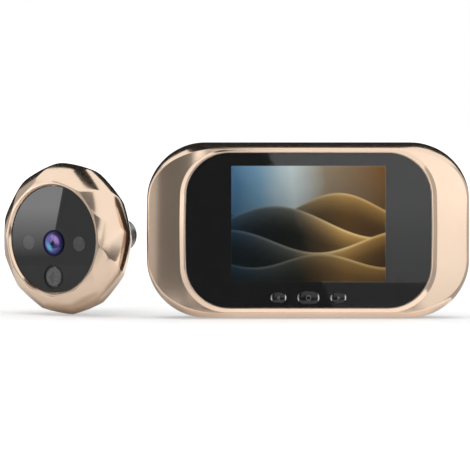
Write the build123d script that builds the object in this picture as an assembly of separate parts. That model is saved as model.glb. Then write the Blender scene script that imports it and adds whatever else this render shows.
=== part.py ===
from build123d import *
import os
from math import cos, radians, sin, sqrt

# A door viewer in two units that stand side by side: an outdoor camera, turned on its
# axis, and an indoor monitor. Millimetres. The origin is on the floor under the middle
# of the pair, X runs to the right, Y away from the viewer and Z up.
# Each unit is modelled in a frame of its own, with X to the right and Z up as its front
# is looked at, and Y from its front plane to its back.

# General values
overrun = 1.0
fit_gap = 0.15
slide_gap = 0.3
seat_gap = 0.05
pilot_gap = 0.05

# Places of the two units
monitor_x = 27.9
monitor_front_y = -29.8
camera_x = -64.1
camera_y = -3.8
camera_turn = 35.3

# Display module: its lit area, and what the module adds at the sides and ends
view_width = 57.6
view_height = 43.2
display_side = 5.8
display_end = 2.9
display_width = view_width + 2 * display_side
display_height = view_height + 2 * display_end
display_thick = 2.5
display_gap = 0.1
bezel_sheet = 0.25
bezel_margin = 1.0
cell_thick = 1.0
pad_inset = 5.0
pad_thick = 1.3

# Window in front of the display, with a black printed mask behind it
window_side = 11.6
window_top = 2.25
window_foot = 7.15
window_width = display_width + 2 * window_side
window_height = display_height + window_top + window_foot
window_corner = 16.3
window_bulge = 1.05
window_lift = 0.2
window_depth = 0.5
window_thick = 1.3
window_round = 0.2
mask_margin = 0.2
mask_thick = 0.2
floor_thick = 1.4
display_lift = window_lift + (window_foot - window_top) / 2

# Front face of the monitor: raised rim, flat band, and wings that fall back at the sides
rim_side = 2.15
rim_end = 1.25
rim_width = window_width + 2 * rim_side
rim_height = window_height + 2 * rim_end
rim_corner = window_corner + rim_end + seat_gap
rim_bulge = window_bulge + seat_gap
rim_round = 0.4
band_depth = 0.9
band_width = 2.55
wing_width = 12.65
wing_overlap = 10.35
wing_start = rim_width / 2 - wing_overlap
wing_radius = 53.0
wing_wall = 1.6

# Monitor casing, outside
monitor_width = rim_width + 2 * wing_width
monitor_height = rim_height + 2 * band_width
monitor_corner = 22.0
monitor_bulge = 0.5
shoulder_depth = 9.5
shoulder_radius = 18.5
shoulder_corner_share = 0.75
shoulder_step_count = 4
back_round = 3.0
casing_wall = 1.8
back_wall = 2.0
seam_lip = 0.9
seam_lip_depth = 1.2

# Keys under the display: the flange is larger than the cap by its margin all round
key_pitch = 11.25
key_rise = 3.9
key_drop = window_height / 2 - window_lift - key_rise
side_key_width = 5.9
side_key_height = 3.5
middle_key_width = 8.2
middle_key_height = 4.5
key_proud = 0.4
key_round = 0.3
key_flange_margin = 0.6
key_flange_thick = 0.6
key_flange_gap = 0.1
key_travel = 0.4
icon_depth = 0.12
icon_size = 0.75
icon_line = 0.22

# Small push switches on the main board
switch_width = 6.0
switch_height = 3.6
switch_thick = 1.2
plunger_radius = 0.8
plunger_gap = 0.1

# Main board: its edges are set in from the casing, and its posts from its edges
board_left_inset = 17.0
board_right_inset = 13.0
board_end_inset = 2.6
board_left = board_left_inset - monitor_width / 2
board_right = monitor_width / 2 - board_right_inset
board_half_height = monitor_height / 2 - board_end_inset
board_corner = 10.0
board_thick = 1.2
board_post_side = 2.9
board_post_inset = 2.2
board_post_x = display_width / 2 + board_post_side
board_post_z = board_half_height - board_post_inset
board_post_radius = 1.9

# Chips on the back of the main board
processor_width = 12.0
processor_thick = 1.2
processor_x = -24.0
processor_z = 6.0
memory_width = 8.0
memory_height = 5.0
memory_thick = 1.0
memory_z = -8.0
converter_width = 5.0
converter_height = 6.0
converter_thick = 1.4
converter_x = -4.0
converter_z = 10.0

# Screws of the boards
board_head_radius = 1.7
board_head_height = 1.0
board_shank_radius = 0.8
board_shank_length = 3.2
recess_width_share = 0.3
recess_length_share = 1.2
recess_depth_share = 0.5

# Screws of the casing, driven from the back: their places are set in from its sides
case_screw_left_inset = 13.0
case_screw_left_drop = 11.5
case_screw_right_inset = 4.8
case_screw_left_x = case_screw_left_inset - monitor_width / 2
case_screw_left_z = monitor_height / 2 - case_screw_left_drop
case_screw_right_x = monitor_width / 2 - case_screw_right_inset
case_screw_right_z = 9.0
case_head_radius = 1.8
case_head_height = 1.3
case_shank_radius = 1.0
case_shank_length = 6.4
case_tube_radius = 3.1
case_boss_radius = 2.4
case_seat_thick = 1.6
case_seat_depth = 12.0
case_bore_gap = 0.25

# Battery cells, the bay that holds them upright, and its door
cell_radius = 5.25
cell_length = 44.5
cell_gap = 0.1
cell_side_gap = 0.35
cell_nub_radius = 1.9
cell_nub_length = 0.8
cell_round = 0.4
cell_pitch = 2 * cell_radius + cell_gap
contact_room = 5.9
contact_width = 8.4
contact_height = 8.4
contact_thick = 0.4
contact_strip = 4.0
bay_inset = 26.0
bay_wall = 0.8
bay_floor_gap = 0.2
bay_floor_thick = 0.8
bay_x = monitor_width / 2 - bay_inset
bay_width = 2 * (cell_pitch + cell_radius + cell_side_gap)
bay_half_height = (cell_length + contact_room) / 2
door_side = 0.8
door_overlap = 1.2
door_gap = 0.25
door_thick = 1.5
door_width = bay_width + 2 * door_side
door_foot = -bay_half_height - door_overlap
door_tongue = 0.8
door_tongue_thick = 0.7
door_ledge = 1.6
door_grip_count = 5
door_grip_width = 12.0
door_grip_line = 0.8
door_grip_pitch = 2.0
door_grip_depth = 0.5
door_grip_z = 12.0

# Wall bracket of sheet steel, with four hooks that slide in rail grooves
bracket_half_width = 23.6
bracket_half_height = 20.0
bracket_z = 0.3
bracket_sheet = 1.2
bracket_corner = 3.0
bracket_sink = 0.2
bracket_hole_radius = 7.5
bracket_screw_spread = 16.0
bracket_screw_radius = 1.75
bracket_tab_spread = 12.0
bracket_tab_height = 6.0
bracket_tab_reach = 1.6
bracket_travel = 6.4
bracket_side_gap = 0.4
bracket_foot_gap = 0.5

# Recess in the back for the bracket, with a rail groove down each side
rail_depth = 2.0
rail_height = 1.6
rail_lip = 1.6
notch_gap = 0.4
recess_depth = 4.2
recess_wall = 1.6
recess_bay_gap = 0.6
recess_half_width = bracket_half_width + bracket_side_gap
recess_top = bracket_z + bracket_half_height + slide_gap
recess_foot = bracket_z - bracket_half_height - bracket_travel - bracket_foot_gap
recess_right = bay_x - bay_width / 2 - bay_wall - recess_bay_gap - recess_wall - rail_depth
recess_x = recess_right - recess_half_width

# Speaker behind a grille in the back
speaker_inset = 12.5
speaker_x = speaker_inset - monitor_width / 2
speaker_radius = 9.0
speaker_rim = 1.0
speaker_thick = 3.4
speaker_floor = 0.8
speaker_magnet_radius = 5.5
speaker_magnet_thick = 2.0
speaker_gasket_thick = 0.6
speaker_ledge = 0.4
speaker_ring_depth = 3.0
cone_thick = 0.4
cone_edge = 0.8
cone_fall = 1.2
cone_dome = 0.5
coil_radius = 3.2
grille_hole_radius = 0.65
grille_ring_pitch = 2.4
grille_ring_count = 3
grille_first_count = 6

# Power switch in the back, under the speaker
power_drop = 5.5
power_x = speaker_x
power_z = -speaker_radius - power_drop
power_body_width = 8.6
power_body_height = 4.2
power_body_thick = 3.8
power_frame_wall = 0.8
power_knob_width = 2.0
power_knob_height = 1.8
power_travel = 2.0
power_knob_sink = 0.4
power_knob_foot = 0.8
power_dish_margin = 1.4
power_dish_depth = 0.6
power_knob_groove = 0.25

# Socket for the ribbon from the camera, on a small board of its own
ribbon_z = -14.0
ribbon_width = 14.0
ribbon_height = 4.6
ribbon_thick = 2.5
ribbon_slot_width = 11.0
ribbon_slot_height = 0.9
ribbon_slot_depth = 1.6
ribbon_board_side = 5.0
ribbon_board_end = 3.2
ribbon_board_thick = 1.0
ribbon_board_width = ribbon_width + 2 * ribbon_board_side
ribbon_board_height = ribbon_height + 2 * ribbon_board_end
ribbon_post_inset = 2.2
ribbon_post_radius = 1.6
ribbon_peg_radius = 0.8
ribbon_peg_proud = 0.4
link_width = 12.0
link_height = 3.0

# Camera face disc and the floor that carries it
face_radius = 20.4
face_recess = 1.2
face_thick = 1.5
face_round = 0.15
camera_mouth_gap = 0.15
camera_floor_thick = 1.5

# Camera shell: twelve facets that turn from the front rim to the back
facet_count = 12
facet_swell = 8.75
facet_wall = 4.85
facet_twist = 24.0
facet_twist_power = 0.5
facet_station_shares = (0.0, 0.02, 0.07, 0.16, 0.3, 0.5, 0.75, 1.0)
camera_radius = face_radius + facet_swell
camera_half_depth = 15.0
camera_waist = 9.2
camera_cavity_radius = camera_radius - facet_wall
camera_back_wall = 2.0

# Camera lens: radii and depths step down from the head of its barrel
lens_drop = 1.4
lens_radius = 4.85
lens_proud = 0.6
lens_head_length = 3.0
lens_shoulder = 1.05
lens_wall = 1.4
lens_rim_wall = 0.65
lens_stem_length = 3.6
lens_stem_radius = lens_radius - lens_shoulder
lens_bore_radius = lens_stem_radius - lens_wall
front_glass_radius = lens_radius - lens_rim_wall
front_glass_edge = 0.6
front_glass_dome = 0.7
front_glass_sink = 0.2
throat_flare = 0.8
throat_depth = 1.0
throat_radius = lens_bore_radius + throat_flare
iris_hole_radius = 0.9
iris_thick = 0.4
rear_glass_thick = 1.0
rear_glass_dome = 0.3
rear_glass_sink = 0.6

# Holder behind the lens, with the infrared filter and the image sensor in it
thread_gap = 0.05
holder_gap = 0.9
holder_wall = 1.6
holder_foot_margin = 0.6
holder_foot_thick = 1.4
holder_radius = lens_stem_radius + holder_wall
holder_width = 2 * (holder_radius + holder_foot_margin)
sensor_room = 2.0
sensor_width = 4.6
sensor_thick = 0.8
sensor_gap = 0.3
filter_margin = 0.2
filter_width = sensor_width + 2 * filter_margin
filter_thick = 0.3
filter_shelf = 0.5

# Infrared lamps left and right of the lens
lamp_inset = 8.25
lamp_spread = face_radius - lamp_inset
lamp_radius = 2.4
lamp_flange = 0.35
lamp_flange_radius = lamp_radius + lamp_flange
lamp_flange_thick = 0.9
lamp_window_margin = 0.45
lamp_window_radius = lamp_radius + lamp_window_margin
lamp_sink = 0.4
lamp_length = 3.6
lamp_leg_radius = 0.3
lamp_leg_spread = 1.27

# Bell button under the lens
bell_inset = 6.1
bell_drop = face_radius - bell_inset
bell_cap_radius = 3.6
bell_cap_proud = 0.35
bell_cap_round = 0.5
bell_ring_gap = 0.25
bell_ring_wall = 0.8
bell_ring_inner = bell_cap_radius + bell_ring_gap
bell_ring_radius = bell_ring_inner + bell_ring_wall
bell_ring_recess = 0.35
bell_flange = 1.0
bell_flange_radius = bell_cap_radius + bell_flange
bell_flange_thick = 0.8
bell_travel = 0.5
bell_plunger_radius = 1.2
bell_switch_width = 6.0
bell_switch_thick = 1.8
bell_icon_size = 1.9
bell_icon_depth = 0.15

# Camera board
camera_board_inset = 2.4
camera_board_radius = face_radius - camera_board_inset
camera_board_thick = 1.2
camera_back_room = 7.2
camera_back_gap = 0.6
camera_back_opening = camera_board_radius + camera_back_gap
camera_post_inset = 7.0
camera_post_end_inset = 6.5
camera_post_x = camera_board_radius - camera_post_inset
camera_post_z = camera_board_radius - camera_post_end_inset
camera_post_radius = 2.0
camera_chip_width = 9.0
camera_chip_thick = 1.1
camera_chip_z = 9.0
camera_plug_width = 12.0
camera_plug_height = 4.6
camera_plug_thick = 2.2
camera_plug_z = -8.5

# Camera base with the hollow barrel that goes through the door
base_inset = 5.15
base_radius = camera_radius - base_inset
base_thick = 2.2
base_spigot_gap = 0.2
base_spigot_depth = 1.5
base_spigot_wall = 2.0
base_edge_round = 0.6
base_screw_count = 4
base_screw_side = 2.5
base_screw_ring = camera_back_opening + base_screw_side
base_boss_radius = 2.3
base_boss_depth = 6.5
base_head_radius = 1.9
base_head_height = 1.2
base_shank_radius = 1.0
base_shank_length = 6.0
barrel_radius = 6.0
barrel_wall = 2.0
barrel_bore_radius = barrel_radius - barrel_wall
barrel_reach = 26.4
barrel_chamfer = 0.6
barrel_root_step = 0.2
barrel_root_radius = barrel_radius + barrel_root_step
barrel_groove_width = 0.8
barrel_groove_depth = 0.4
barrel_flange = 4.0
barrel_flange_radius = barrel_radius + barrel_flange
barrel_flange_thick = 1.4
barrel_screw_count = 3
barrel_screw_side = 2.4
barrel_screw_ring = barrel_radius + barrel_screw_side
barrel_head_radius = 1.3
barrel_head_height = 0.8
barrel_shank_radius = 0.7
barrel_shank_length = 2.8
gasket_inset = 2.0
gasket_radius = base_radius - gasket_inset
gasket_thick = 1.5
gasket_hole_gap = 0.5

# Depths that follow from the stack of layers in the monitor
mask_front = window_depth + window_thick
floor_front = mask_front + mask_thick
floor_back = floor_front + floor_thick
display_front = floor_front + display_gap
display_back = display_front + display_thick
board_front = display_back + pad_thick
board_back = board_front + board_thick
board_middle = (board_left + board_right) / 2
bay_floor_front = board_back + bay_floor_gap
bay_floor_back = bay_floor_front + bay_floor_thick
cell_depth = bay_floor_back + fit_gap + cell_radius
door_front = cell_depth + cell_radius + door_gap
monitor_depth = door_front + door_thick
back_inner = monitor_depth - back_wall
recess_floor = monitor_depth - recess_depth
recess_inner = recess_floor - recess_wall
rail_back = monitor_depth - rail_lip
rail_front = rail_back - rail_height
bracket_back = monitor_depth - bracket_sink
bracket_front = bracket_back - bracket_sheet
tab_front = (rail_front + rail_back - bracket_sheet) / 2
ribbon_board_back = recess_floor - ribbon_thick
ribbon_board_front = ribbon_board_back - ribbon_board_thick
speaker_back = back_inner - speaker_gasket_thick
speaker_front = speaker_back - speaker_thick

# Depths that follow from the stack of layers in the camera
face_back = face_recess + face_thick
camera_floor_back = face_back + camera_floor_thick
lens_front = face_recess - lens_proud
lens_head_back = lens_front + lens_head_length
lens_back = lens_head_back + lens_stem_length
glass_seat = lens_front + front_glass_sink + front_glass_dome + front_glass_edge
holder_front = lens_head_back + holder_gap
lamp_front = face_back + lamp_sink
bell_flange_front = camera_floor_back + fit_gap
bell_flange_back = bell_flange_front + bell_flange_thick
camera_board_front = lens_back + sensor_room
camera_board_back = camera_board_front + camera_board_thick
camera_back = camera_board_front + camera_back_room
base_back = camera_back + base_thick
gasket_back = base_back + gasket_thick
barrel_end = gasket_back + barrel_reach


def front_plane(depth):
    """Sketch plane at a depth: sketch X is X, sketch Y is Z, and it faces the viewer."""
    return Plane(origin=(0, depth, 0), x_dir=(1, 0, 0), z_dir=(0, -1, 0))


def slab(face, front, back):
    """A face drawn as seen from the front, made solid between two depths."""
    return extrude(front_plane(back) * face, amount=back - front)


def turned(points):
    """A solid of revolution round the Y axis from (radius, depth) points."""
    return revolve(make_face(Polyline(*points, close=True)), axis=Axis.Y)


def ring(outer, inner, front, back):
    return slab(Circle(outer) - Circle(inner), front, back)


def front_edges(solid):
    return solid.faces().sort_by(Axis.Y)[0].outer_wire().edges()


def back_edges(solid):
    return solid.faces().sort_by(Axis.Y)[-1].outer_wire().edges()


def discs(places, radius, front, back):
    """Round posts or holes at (x, z) places, between two depths."""
    return extrude(
        front_plane(back) * Sketch([Pos(x, z) * Circle(radius) for x, z in places]),
        amount=back - front,
    )


def bulged_rectangle(width, height, corner, bulge):
    """Straight top and foot, sides that swell by the bulge, and round corners."""
    side, half = width / 2 - bulge, height / 2
    edges = [
        Line((-side, half), (side, half)),
        ThreePointArc((side, half), (width / 2, 0), (side, -half)),
        Line((side, -half), (-side, -half)),
        ThreePointArc((-side, -half), (-width / 2, 0), (-side, half)),
    ]
    face = make_face(Curve() + edges)
    return fillet(face.vertices(), corner)


def casing_outline(inset, corner):
    width, height = monitor_width - 2 * inset, monitor_height - 2 * inset
    return bulged_rectangle(width, height, corner, monitor_bulge)


def shoulder_inset(depth):
    """How far the casing's side has drawn in at a depth in front of the shoulder."""
    reach = shoulder_depth - depth
    return shoulder_radius - sqrt(shoulder_radius**2 - reach**2)


def shoulder_solid():
    """The front half of the casing before its front face is cut."""
    first = band_depth / 2
    sections = []
    for step in range(shoulder_step_count + 1):
        depth = first + (shoulder_depth - first) * step / shoulder_step_count
        inset = shoulder_inset(depth)
        corner = monitor_corner + inset * shoulder_corner_share
        sections.append(front_plane(depth) * casing_outline(inset, corner))
    return loft(sections)


def in_front_of_wings(level, radius):
    """All that lies in front of the band and the two wings, as a profile seen from above."""
    reach = monitor_width / 2 + overrun
    middle = (wing_start + reach) / 2
    fall = radius - sqrt(radius**2 - (reach - wing_start) ** 2)
    half_fall = radius - sqrt(radius**2 - (middle - wing_start) ** 2)
    far = -monitor_depth
    edges = [
        ThreePointArc((-reach, level + fall), (-middle, level + half_fall), (-wing_start, level)),
        Line((-wing_start, level), (wing_start, level)),
        ThreePointArc((wing_start, level), (middle, level + half_fall), (reach, level + fall)),
        Line((reach, level + fall), (reach, far)),
        Line((reach, far), (-reach, far)),
        Line((-reach, far), (-reach, level + fall)),
    ]
    return extrude(make_face(Curve() + edges), amount=monitor_height, both=True)


def key_sizes():
    """Name, sketch place, width and height of each key."""
    return [
        ("left", -key_pitch, side_key_width, side_key_height),
        ("middle", 0, middle_key_width, middle_key_height),
        ("right", key_pitch, side_key_width, side_key_height),
    ]


def key_holes(gap, front, back):
    outlines = [
        Pos(x, -key_drop) * SlotOverall(width + 2 * gap, height + 2 * gap)
        for name, x, width, height in key_sizes()
    ]
    return slab(Sketch(outlines), front, back)


def case_screw_places():
    left = [(case_screw_left_x, side * case_screw_left_z) for side in (1, -1)]
    right = [(case_screw_right_x, side * case_screw_right_z) for side in (1, -1)]
    return left + right


def board_post_places():
    return [(x, z) for x in (-board_post_x, board_post_x) for z in (-board_post_z, board_post_z)]


def camera_post_places():
    return [
        (x, z)
        for x in (-camera_post_x, camera_post_x)
        for z in (-camera_post_z, camera_post_z)
    ]


def ring_places(count, radius, first_angle):
    angles = [radians(first_angle + 360 * step / count) for step in range(count)]
    return [(radius * cos(angle), radius * sin(angle)) for angle in angles]


def screw(head_radius, head_height, shank_radius, shank_length):
    """A pan-head screw with a cross recess. Its head sits behind depth 0."""
    head = slab(Circle(head_radius), 0, head_height)
    head = fillet(back_edges(head), head_height / 3)
    width, length = head_radius * recess_width_share, head_radius * recess_length_share
    cross = Rectangle(length, width) + Rectangle(width, length)
    head -= slab(cross, head_height * (1 - recess_depth_share), head_height + overrun)
    shank = slab(Circle(shank_radius), -shank_length, 0)
    return head + chamfer(front_edges(shank), shank_radius / 2)


def screws(places, seat, *sizes):
    return Compound(children=[Pos(x, seat, z) * screw(*sizes) for x, z in places])


def triangle(size, turn):
    return Rot(0, 0, turn) * RegularPolygon(size, 3)


# Monitor: casing


def front_shell():
    shell = shoulder_solid() - in_front_of_wings(band_depth, wing_radius)
    inside = casing_outline(casing_wall, monitor_corner - casing_wall)
    wings_inside = in_front_of_wings(band_depth + wing_wall, wing_radius - wing_wall)
    shell -= slab(inside, floor_back, shoulder_depth + overrun) - wings_inside
    rim = slab(bulged_rectangle(rim_width, rim_height, rim_corner, rim_bulge), 0, floor_back)
    shell += fillet(front_edges(rim), rim_round)
    boss_top = case_seat_depth - case_seat_thick - seat_gap
    shell += discs(case_screw_places(), case_boss_radius, floor_back, boss_top) - wings_inside
    shell += discs(board_post_places(), board_post_radius, floor_front, board_front)
    shell -= slab(window_outline(fit_gap), -overrun, floor_front)
    module = Rectangle(display_width + 2 * fit_gap, display_height + 2 * fit_gap)
    shell -= slab(Pos(0, display_lift) * module, 0, floor_back + overrun)
    shell -= key_holes(fit_gap, 0, floor_back + overrun)
    pilot_foot = case_seat_depth - case_shank_length - fit_gap
    pilot = case_shank_radius + pilot_gap
    shell -= discs(case_screw_places(), pilot, pilot_foot, boss_top + overrun)
    pilot_foot = board_back - board_shank_length - fit_gap
    pilot = board_shank_radius + pilot_gap
    shell -= discs(board_post_places(), pilot, pilot_foot, board_front + overrun)
    return shell


def window_outline(gap):
    width, height = window_width + 2 * gap, window_height + 2 * gap
    return Pos(0, window_lift) * bulged_rectangle(width, height, window_corner + gap, window_bulge)


def rear_block():
    block = slab(casing_outline(0, monitor_corner), shoulder_depth, monitor_depth)
    return fillet(back_edges(block), back_round)


def door_slab(side_gap, foot_gap, front, back):
    """The battery door's plate, which runs up past the top of the casing."""
    top = monitor_height / 2 + overrun
    foot = door_foot - foot_gap
    plate = Rectangle(door_width + 2 * side_gap, top - foot)
    return slab(Pos(bay_x, (top + foot) / 2) * plate, front, back)


def door_tongue_slab(gap, front, back):
    """The plate's two side tongues, in one piece with the space between them."""
    top = monitor_height / 2 + overrun
    foot = door_foot - gap
    plate = Rectangle(door_width + 2 * (door_tongue + gap), top - foot)
    return slab(Pos(bay_x, (top + foot) / 2) * plate, front, back)


def recess_face(grow):
    height = recess_top - recess_foot
    return Pos(recess_x, (recess_top + recess_foot) / 2) * Rectangle(
        2 * (recess_half_width + grow), height
    )


def rail_notches():
    """Entry notches in the rail lips, one tab height under each tab."""
    notches = []
    for side in (-1, 1):
        for spread in (-bracket_tab_spread, bracket_tab_spread):
            z = bracket_z + spread - bracket_travel
            x = recess_x + side * (recess_half_width + rail_depth / 2)
            size = (rail_depth, bracket_tab_height + 2 * notch_gap)
            notches.append(Pos(x, z) * Rectangle(*size))
    return slab(Sketch(notches), rail_front, monitor_depth + overrun)


def grille_places():
    places = [(speaker_x, 0)]
    for number in range(1, grille_ring_count + 1):
        ring_of_holes = ring_places(grille_first_count * number, grille_ring_pitch * number, 0)
        places += [(speaker_x + x, z) for x, z in ring_of_holes]
    return places


def rear_shell():
    shell = rear_block()
    inside = casing_outline(casing_wall, monitor_corner - casing_wall)
    shell -= slab(inside, shoulder_depth - overrun, back_inner)
    shell += seam_ring(casing_wall, shoulder_depth, shoulder_depth + seam_lip_depth)
    shell += seam_ring(casing_wall + fit_gap, shoulder_depth - seam_lip_depth, shoulder_depth)
    inner = bay_width / 2 + bay_wall
    outer_height = 2 * (bay_half_height + bay_wall)
    bay = Pos(bay_x) * Rectangle(2 * inner, outer_height)
    shell += slab(bay, bay_floor_front, door_front - seat_gap) & slab(
        inside, bay_floor_front, door_front
    )
    ledge_front = door_front - door_ledge
    ledge = door_tongue_slab(door_ledge, ledge_front, back_inner) & slab(
        inside, ledge_front, back_inner
    )
    shell += ledge
    walls = 2 * (recess_half_width + rail_depth + recess_wall)
    height = recess_top - recess_foot + 2 * recess_wall
    pocket = Pos(recess_x, (recess_top + recess_foot) / 2) * Rectangle(walls, height)
    shell += slab(pocket, recess_inner, back_inner)
    shell += discs(case_screw_places(), case_tube_radius, case_seat_depth - case_seat_thick, back_inner)
    holder_front = back_inner - speaker_gasket_thick - speaker_ring_depth
    holder = Circle(speaker_radius + fit_gap + recess_wall) - Circle(speaker_radius + fit_gap)
    shell += slab(Pos(speaker_x) * holder, holder_front, back_inner)
    shell += power_frame()
    shell += ribbon_posts(recess_inner)
    shell -= slab(Pos(bay_x) * Rectangle(bay_width, 2 * bay_half_height), bay_floor_back, monitor_depth)
    shell -= door_slab(fit_gap, fit_gap, door_front - fit_gap, monitor_depth + overrun)
    groove_back = door_front + door_tongue_thick + fit_gap
    shell -= door_tongue_slab(fit_gap, door_front - fit_gap, groove_back)
    shell -= slab(recess_face(0), recess_floor, monitor_depth + overrun)
    shell -= slab(recess_face(rail_depth), rail_front, rail_back)
    shell -= rail_notches()
    shell -= discs(grille_places(), grille_hole_radius, back_inner - overrun, monitor_depth + overrun)
    shell -= power_opening()
    socket = Rectangle(ribbon_width + 2 * fit_gap, ribbon_height + 2 * fit_gap)
    shell -= slab(Pos(recess_x, ribbon_z) * socket, recess_inner - overrun, recess_floor + overrun)
    bore = case_head_radius + case_bore_gap
    shell -= discs(case_screw_places(), bore, case_seat_depth, monitor_depth + overrun)
    shank = case_shank_radius + fit_gap
    seat_front = case_seat_depth - case_seat_thick
    shell -= discs(case_screw_places(), shank, seat_front - overrun, case_seat_depth + overrun)
    boss = case_boss_radius + fit_gap
    shell -= discs(case_screw_places(), boss, shoulder_depth - seam_lip_depth - overrun, seat_front)
    return shell


def seam_ring(inset, front, back):
    corner = monitor_corner - inset
    inner = casing_wall + seam_lip + fit_gap
    face = casing_outline(inset, corner) - casing_outline(inner, monitor_corner - inner)
    return slab(face, front, back)


def power_frame():
    """Walls round the power switch on the inside of the back."""
    grow = 2 * (fit_gap + power_frame_wall)
    outer = Rectangle(power_body_width + grow, power_body_height + grow)
    inner = Rectangle(power_body_width + 2 * fit_gap, power_body_height + 2 * fit_gap)
    front = back_inner - power_body_thick + power_frame_wall
    return slab(Pos(power_x, power_z) * (outer - inner), front, back_inner)


def power_slot_width():
    return power_knob_width + power_travel + 2 * slide_gap


def power_opening():
    slot_height = power_knob_height + 2 * slide_gap
    slot = Rectangle(power_slot_width(), slot_height)
    dish = SlotOverall(
        power_slot_width() + 2 * power_dish_margin, slot_height + 2 * power_dish_margin
    )
    place = Pos(power_x, power_z)
    dish_front = monitor_depth - power_dish_depth
    return slab(place * slot, back_inner - overrun, monitor_depth + overrun) + slab(
        place * dish, dish_front, monitor_depth + overrun
    )


def ribbon_peg_places():
    spread = ribbon_board_width / 2 - ribbon_post_inset
    return [(recess_x + side * spread, ribbon_z) for side in (-1, 1)]


def ribbon_posts(root):
    """Posts that carry the socket's board, each with a peg through it."""
    posts = discs(ribbon_peg_places(), ribbon_post_radius, ribbon_board_back, root)
    peg_tip = ribbon_board_front - ribbon_peg_proud
    return posts + discs(ribbon_peg_places(), ribbon_peg_radius, peg_tip, root)


def case_screws():
    sizes = (case_head_radius, case_head_height, case_shank_radius, case_shank_length)
    return screws(case_screw_places(), case_seat_depth, *sizes)


# Monitor: window, display and keys


def window_panel():
    panel = slab(window_outline(0), window_depth, mask_front)
    panel = fillet(front_edges(panel), window_round)
    return panel - key_holes(fit_gap, 0, mask_front + overrun)


def window_mask():
    view = Rectangle(view_width + 2 * mask_margin, view_height + 2 * mask_margin)
    mask = slab(window_outline(0) - Pos(0, display_lift) * view, mask_front, floor_front)
    return mask - key_holes(fit_gap, 0, floor_front + overrun)


def display_face(inset):
    return Pos(0, display_lift) * Rectangle(
        display_width - 2 * inset, display_height - 2 * inset
    )


def view_face(margin):
    return Pos(0, display_lift) * Rectangle(view_width + 2 * margin, view_height + 2 * margin)


def display_bezel():
    bezel = slab(display_face(0), display_front, display_back)
    bezel -= slab(display_face(bezel_sheet), display_front + bezel_sheet, display_back + overrun)
    return bezel - slab(view_face(bezel_margin), 0, display_back)


def display_glass():
    inset = bezel_sheet + seat_gap
    front = display_front + bezel_sheet
    return slab(display_face(inset), front, front + cell_thick)


def display_backlight():
    inset = bezel_sheet + seat_gap
    return slab(display_face(inset), display_front + bezel_sheet + cell_thick, display_back)


def display_pad():
    return slab(display_face(pad_inset), display_back, board_front)


def key_icon(name):
    bar = Pos(icon_size) * Rectangle(icon_line, 2 * icon_size)
    if name == "left":
        return triangle(icon_size, 180) + bar
    if name == "right":
        return triangle(icon_size, 0) + Rot(0, 0, 180) * bar
    return Circle(icon_size) - Circle(icon_size - icon_line)


def key(name, x, width, height):
    cap_front = window_depth - key_proud
    flange_front = floor_back + key_flange_gap
    cap = slab(SlotOverall(width, height), cap_front, flange_front)
    cap = fillet(front_edges(cap), key_round)
    cap -= slab(key_icon(name), 0, cap_front + icon_depth)
    flange = SlotOverall(width + 2 * key_flange_margin, height + 2 * key_flange_margin)
    cap += slab(flange, flange_front, flange_front + key_flange_thick)
    return Pos(x, 0, -key_drop) * cap


def key_switch(x):
    body = slab(Rectangle(switch_width, switch_height), board_front - switch_thick, board_front)
    flange_back = floor_back + key_flange_gap + key_flange_thick
    tip = flange_back + key_travel + plunger_gap
    plunger = slab(Circle(plunger_radius), tip, board_front - switch_thick)
    return Pos(x, 0, -key_drop) * (body + plunger)


# Monitor: boards


def main_board():
    outline = RectangleRounded(board_right - board_left, 2 * board_half_height, board_corner)
    board = slab(Pos(board_middle) * outline, board_front, board_back)
    hole = board_shank_radius + fit_gap
    return board - discs(board_post_places(), hole, board_front - overrun, board_back + overrun)


def chip(width, height, thick, x, z):
    return slab(Pos(x, z) * Rectangle(width, height), board_back, board_back + thick)


def board_chips():
    return Compound(
        children=[
            chip(processor_width, processor_width, processor_thick, processor_x, processor_z),
            chip(memory_width, memory_height, memory_thick, processor_x, memory_z),
            chip(converter_width, converter_height, converter_thick, converter_x, converter_z),
        ]
    )


def board_screws():
    sizes = (board_head_radius, board_head_height, board_shank_radius, board_shank_length)
    return screws(board_post_places(), board_back, *sizes)


def ribbon_board():
    face = Rectangle(ribbon_board_width, ribbon_board_height)
    board = slab(Pos(recess_x, ribbon_z) * face, ribbon_board_front, ribbon_board_back)
    hole = ribbon_peg_radius + seat_gap
    return board - discs(ribbon_peg_places(), hole, ribbon_board_front - overrun, recess_floor)


def ribbon_socket():
    place = Pos(recess_x, ribbon_z)
    body = slab(place * Rectangle(ribbon_width, ribbon_height), ribbon_board_back, recess_floor)
    mouth = place * Rectangle(ribbon_slot_width, ribbon_slot_height)
    return body - slab(mouth, recess_floor - ribbon_slot_depth, recess_floor + overrun)


def board_link():
    face = Pos(recess_x, ribbon_z) * Rectangle(link_width, link_height)
    return slab(face, board_back, ribbon_board_front)


# Monitor: batteries


def cell_places():
    return [("left", -cell_pitch, 1), ("middle", 0, -1), ("right", cell_pitch, 1)]


def plate_end():
    """Height at which a cell's nub meets its plate contact."""
    return bay_half_height - contact_thick - 2 * seat_gap


def battery_cell(x, way):
    """A cylinder with a nub. It is drawn along Z and turned over where way is -1."""
    body_top = plate_end() - cell_nub_length
    body_length = cell_length - cell_nub_length
    body = Pos(0, 0, body_top - body_length / 2) * Cylinder(cell_radius, body_length)
    rims = body.edges().filter_by(GeomType.CIRCLE)
    body = fillet(rims, cell_round)
    nub = Pos(0, 0, body_top + cell_nub_length / 2) * Cylinder(cell_nub_radius, cell_nub_length)
    return Pos(bay_x + x, cell_depth, 0) * Rot(0, 90 - 90 * way, 0) * (body + nub)


def contact_plate(x, way):
    top = bay_half_height - seat_gap
    plate = Pos(0, 0, top - contact_thick / 2) * Box(contact_width, contact_height, contact_thick)
    return Pos(bay_x + x, cell_depth, 0) * Rot(0, 90 - 90 * way, 0) * plate


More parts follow.
